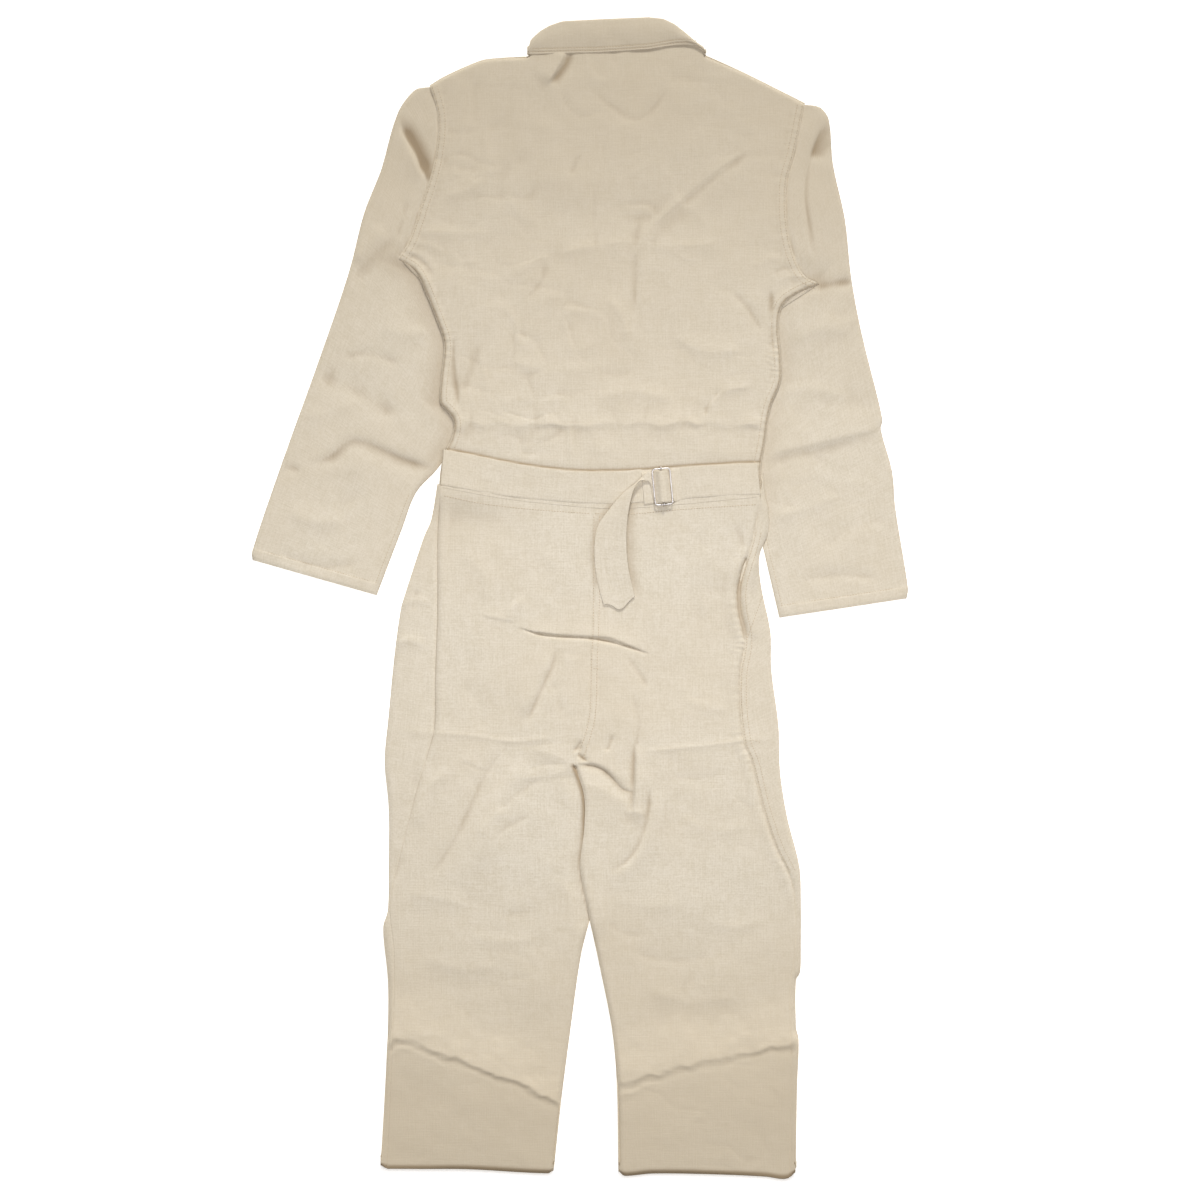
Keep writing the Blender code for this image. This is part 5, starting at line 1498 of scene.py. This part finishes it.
def linen_material():
    """Plain-woven linen: thick and thin yarns both ways, small crumples, warm and cool areas, painted light
    falloff toward the collar and the leg ends, and painted shade in hollows.
    """
    cloth = settings()
    tree, shader, place = new_finish("linen_cloth")
    weave = tree.nodes.new("ShaderNodeUVMap")
    weave.uv_map = "Weave"
    threads = weave.outputs["UV"]
    warp = noise_node(tree, threads, 1.0, 2.0, (1300, 60, 1))
    weft = noise_node(tree, threads, 1.0, 2.0, (60, 1200, 1))
    slub_warp = noise_node(tree, threads, 1.0, 1.0, (560, 22, 1))
    slub_weft = noise_node(tree, threads, 1.0, 1.0, (26, 520, 1))
    yarns = math_node(tree, "ADD", warp, weft)
    slubs = math_node(tree, "ADD", slub_warp, slub_weft)
    streak = weighted(tree, yarns, 0.55, slubs, 0.45)
    crumple = noise_node(tree, place, 70, 4.0)
    grain_tone = noise_node(tree, place, 420, 4.0)
    speckle = weighted(tree, grain_tone, 0.8, crumple, 0.3)
    tone = ranged(tree, weighted(tree, streak, 0.7, speckle, 1.0), 1.05, 1.45, 0.0, 1.0)
    base = mixed(tree, tone, (*cloth.shade_colour, 1), (*cloth.cloth_colour, 1))
    patchy = ranged(tree, noise_node(tree, place, 4.5, 3.0), 0.35, 0.7, 0.0, 0.35)
    tinted = mixed(tree, patchy, base, (*cloth.warm_tone_and_falloff_colour, 1))
    # painted light falloff: warmer and darker toward the collar and toward the leg ends, where less light
    # falls
    upper = tree.nodes.new("ShaderNodeSeparateXYZ")
    link(tree, place, upper.inputs[0])
    head_end = ranged(tree, upper.outputs["Y"], 0.1, 0.6, 0.0, 0.55)
    leg_end = ranged(tree, upper.outputs["Y"], -0.35, -0.62, 0.0, 0.7)
    ends = math_node(tree, "MAXIMUM", head_end, leg_end)
    falloff_shaded = mixed(tree, ends, tinted, (*cloth.warm_tone_and_falloff_colour, 1))
    # painted shade: the colour is mixed toward a dark warm brown in hollows, creases, slits and beside raised
    # edges
    hollow = tree.nodes.new("ShaderNodeAttribute")
    hollow.attribute_name = "Hollow"
    depth = ranged(tree, hollow.outputs["Fac"], 0.04, 0.9, 0.0, 0.85)
    link(tree, mixed(tree, depth, falloff_shaded, (*cloth.hollow_shade_colour, 1)), shader.inputs["Base Color"])
    link(tree, ranged(tree, streak, 0.7, 1.3, 0.96, 0.82), shader.inputs["Roughness"])
    shader.inputs["Sheen Weight"].default_value = 0.1
    shader.inputs["Sheen Roughness"].default_value = 0.5
    shader.inputs["Specular IOR Level"].default_value = 0.25
    add_relief(tree, shader, weighted(tree, streak, 0.6, crumple, 0.5), 0.55, 0.0006)


def thread_material():
    """Matt spun thread, a little uneven in tone."""
    tree, shader, place = new_finish("linen_thread")
    twist = noise_node(tree, place, 1400, 2.0)
    colour = settings().thread_colour
    pale = tuple(min(1.0, value * 1.25) for value in colour)
    link(tree, mixed(tree, twist, (*colour, 1), (*pale, 1)), shader.inputs["Base Color"])
    link(tree, ranged(tree, twist, 0.3, 0.7, 0.7, 0.9), shader.inputs["Roughness"])
    add_relief(tree, shader, twist, 1.0, 0.0002)


def steel_material():
    """Bright plated wire with a faint brushed grain."""
    tree, shader, place = new_finish("slider_steel")
    shader.inputs["Metallic"].default_value = 1.0
    grain = noise_node(tree, place, 900, 3.0, (1, 0.2, 1))
    colour = bpy.context.scene.jumpsuit_slider.steel_colour
    dull = tuple(value * 0.86 for value in colour)
    link(tree, mixed(tree, grain, (*dull, 1), (*colour, 1)), shader.inputs["Base Color"])
    link(tree, ranged(tree, grain, 0.3, 0.7, 0.28, 0.42), shader.inputs["Roughness"])


# ---------------------------------------------------------------- properties and operators


def colour(name, description, value):
    return bpy.props.FloatVectorProperty(name=name, description=description, subtype="COLOR", default=value)


def measure(name, description, value):
    return bpy.props.FloatProperty(name=name, description=description, default=value, unit="LENGTH")


def amount(name, description, value):
    return bpy.props.FloatProperty(name=name, description=description, default=value)


class ClothSettings(bpy.types.PropertyGroup):
    mesh_step: bpy.props.FloatProperty(
        name="Mesh step", description="Spacing of the cloth's mesh, in millimetres",
        default=2.8, min=1.5, max=12)
    cloth_colour: colour("Cloth", "The linen's lighter yarns", (0.825, 0.761, 0.643))
    shade_colour: colour("Shade", "The linen's darker yarns", (0.705, 0.636, 0.503))
    # the linen's warmer random tone, and also the colour of the painted light falloff toward the garment's
    # ends
    warm_tone_and_falloff_colour: colour("Warm areas", "The warmer tone of some areas", (0.71, 0.61, 0.455))
    # the colour of the painted shade in folds, creases, slits and seams
    hollow_shade_colour: colour("Hollows", "The tone deep in folds and seams", (0.37, 0.275, 0.17))
    thread_colour: colour("Thread", "The sewing thread", (0.56, 0.46, 0.32))
    stitch_pitch: measure("Stitch pitch", "Distance from stitch to stitch", 0.0034)
    stitch_length: measure("Stitch length", "Length of the thread that shows", 0.0026)
    thread_width: measure("Thread width", "Thickness of the thread", 0.0009)


class SliderSettings(bpy.types.PropertyGroup):
    width: measure("Width", "Between the middles of the side wires", 0.022)
    length: measure("Length", "Between the middles of the end wires", 0.045)
    corner: measure("Corner", "Radius of the corners", 0.0035)
    wire: measure("Wire", "Thickness of the wire", 0.0019)
    steel_colour: colour("Steel", "Colour of the plated wire", (0.86, 0.83, 0.82))


class StageSettings(bpy.types.PropertyGroup):
    floor_colour: colour("Floor", "Colour of the floor", (0.93, 0.93, 0.93))
    overhead_power: amount("Overhead", "Power of the soft light above the garment, in watts", 8.6)
    head_power: amount("Head side", "Strength of the slanting light from beyond the collar", 2.1)
    ambient: amount("Ambient", "Strength of the even light", 0.17)
    camera_height: measure("Camera height", "Height of the camera above the surface", 3.542)
    lens: amount("Lens", "Focal length in millimetres", 85.0)


def build_floor(stage):
    """A wide pale floor just below the garment, a little bright in itself."""
    shape = bmesh.new()
    bmesh.ops.create_grid(shape, x_segments=1, y_segments=1, size=FLOOR_HALF)
    mesh = finished(shape, "floor")
    mesh.transform(Matrix.Translation((0, 0, -FLOOR_DROP)))
    floor = bpy.data.objects.new("floor", mesh)
    bpy.context.scene.collection.objects.link(floor)
    pale = bpy.data.materials.new("floor_paper")
    pale.use_nodes = True
    shader = pale.node_tree.nodes["Principled BSDF"]
    shader.inputs["Base Color"].default_value = (*stage.floor_colour, 1)
    shader.inputs["Roughness"].default_value = 0.9
    shader.inputs["Emission Color"].default_value = (1, 1, 1, 1)
    shader.inputs["Emission Strength"].default_value = 0.6
    mesh.materials.append(pale)


def add_lamp(data, place, aim):
    lamp = bpy.data.objects.new(data.name, data)
    lamp.location = place
    lamp.rotation_euler = (Vector(aim) - Vector(place)).to_track_quat("-Z", "Y").to_euler()
    lamp.visible_camera = False
    bpy.context.scene.collection.objects.link(lamp)


def add_lights(stage):
    """A soft light above, a slanting one from beyond the collar, and even light all round."""
    overhead = bpy.data.lights.new("overhead", "AREA")
    overhead.shape = "RECTANGLE"
    overhead.size, overhead.size_y, overhead.energy = 1.5, 0.5, stage.overhead_power
    overhead.color = (1.0, 1.0, 1.05)
    add_lamp(overhead, (0.1, -0.02, 1.15), (0.1, -0.02, 0.0))
    head_side = bpy.data.lights.new("head_side", "SUN")
    head_side.energy = stage.head_power
    head_side.angle = math.radians(11)
    head_side.color = (1.0, 0.985, 0.95)
    add_lamp(head_side, (0.25, 2.0, 1.15), (0.0, 0.0, 0.0))
    world = bpy.data.worlds.new("studio")
    world.use_nodes = True
    sky = world.node_tree.nodes["Background"]
    sky.inputs["Color"].default_value = (1.0, 0.91, 0.78, 1)
    sky.inputs["Strength"].default_value = stage.ambient
    bpy.context.scene.world = world


def set_camera(stage):
    """The camera straight above, as the photograph was taken."""
    data = bpy.data.cameras.new("camera")
    data.lens, data.sensor_width = stage.lens, 36.0
    camera = bpy.data.objects.new("camera", data)
    camera.location = (0.025, -0.0019, stage.camera_height)
    scene = bpy.context.scene
    scene.collection.objects.link(camera)
    scene.camera = camera
    scene.view_settings.view_transform = "Standard"
    scene.view_settings.look = "None"


class JUMPSUIT_OT_materials(bpy.types.Operator):
    """Make the linen, thread and steel finishes"""
    bl_idname = "jumpsuit.materials"
    bl_label = "Finishes"

    def execute(self, context):
        linen_material()
        thread_material()
        steel_material()
        return {"FINISHED"}


class JUMPSUIT_OT_bodice(bpy.types.Operator):
    """Build the back bodice, the two front bodices and the front placket"""
    bl_idname = "jumpsuit.bodice"
    bl_label = "Bodice"

    def execute(self, context):
        build_back_bodice()
        build_front_bodices()
        build_placket()
        return {"FINISHED"}


class JUMPSUIT_OT_sleeves(bpy.types.Operator):
    """Build the two sleeves, open at the cuffs"""
    bl_idname = "jumpsuit.sleeves"
    bl_label = "Sleeves"

    def execute(self, context):
        for side in ("left", "right"):
            build_sleeve(side)
        return {"FINISHED"}


class JUMPSUIT_OT_legs(bpy.types.Operator):
    """Build the back and front of both legs with their folded ends"""
    bl_idname = "jumpsuit.legs"
    bl_label = "Legs"

    def execute(self, context):
        for side in ("left", "right"):
            build_back_leg(side)
            build_front_leg(side)
            build_leg_fold(side)
        return {"FINISHED"}


class JUMPSUIT_OT_collar(bpy.types.Operator):
    """Build the turned-down collar"""
    bl_idname = "jumpsuit.collar"
    bl_label = "Collar"

    def execute(self, context):
        build_collar()
        return {"FINISHED"}


class JUMPSUIT_OT_belt(bpy.types.Operator):
    """Build the two belt halves and the slider that joins them"""
    bl_idname = "jumpsuit.belt"
    bl_label = "Belt and slider"

    def execute(self, context):
        build_belts()
        build_slider()
        return {"FINISHED"}


class JUMPSUIT_OT_stitching(bpy.types.Operator):
    """Sew the visible stitch rows"""
    bl_idname = "jumpsuit.stitching"
    bl_label = "Stitching"

    def execute(self, context):
        build_stitching()
        return {"FINISHED"}


class JUMPSUIT_OT_stage(bpy.types.Operator):
    """Set the floor, the lights and the camera"""
    bl_idname = "jumpsuit.stage"
    bl_label = "Stage"

    def execute(self, context):
        stage = context.scene.jumpsuit_stage
        build_floor(stage)
        add_lights(stage)
        set_camera(stage)
        return {"FINISHED"}


class JUMPSUIT_PT_panel(bpy.types.Panel):
    """Lists the garment's sizes, colours and pieces"""
    bl_idname = "JUMPSUIT_PT_panel"
    bl_label = "Linen jumpsuit"
    bl_space_type = "VIEW_3D"
    bl_region_type = "UI"
    bl_category = "Jumpsuit"

    def draw(self, context):
        scene = context.scene
        for group in (scene.jumpsuit_cloth, scene.jumpsuit_slider, scene.jumpsuit_stage):
            box = self.layout.box()
            for name in group.__annotations__:
                box.prop(group, name)
        for operator in OPERATORS:
            self.layout.operator(operator.bl_idname)


OPERATORS = (JUMPSUIT_OT_materials, JUMPSUIT_OT_bodice, JUMPSUIT_OT_sleeves, JUMPSUIT_OT_legs,
             JUMPSUIT_OT_collar, JUMPSUIT_OT_belt, JUMPSUIT_OT_stitching, JUMPSUIT_OT_stage)
CLASSES = (ClothSettings, SliderSettings, StageSettings, *OPERATORS, JUMPSUIT_PT_panel)


def register():
    for item in CLASSES:
        bpy.utils.register_class(item)
    bpy.types.Scene.jumpsuit_cloth = bpy.props.PointerProperty(type=ClothSettings)
    bpy.types.Scene.jumpsuit_slider = bpy.props.PointerProperty(type=SliderSettings)
    bpy.types.Scene.jumpsuit_stage = bpy.props.PointerProperty(type=StageSettings)


def unregister():
    for name in ("jumpsuit_cloth", "jumpsuit_slider", "jumpsuit_stage"):
        delattr(bpy.types.Scene, name)
    for item in reversed(CLASSES):
        bpy.utils.unregister_class(item)


def main():
    register()
    for name in ("materials", "bodice", "sleeves", "legs", "collar", "belt", "stitching", "stage"):
        getattr(bpy.ops.jumpsuit, name)()


if __name__ == "__main__":
    main()
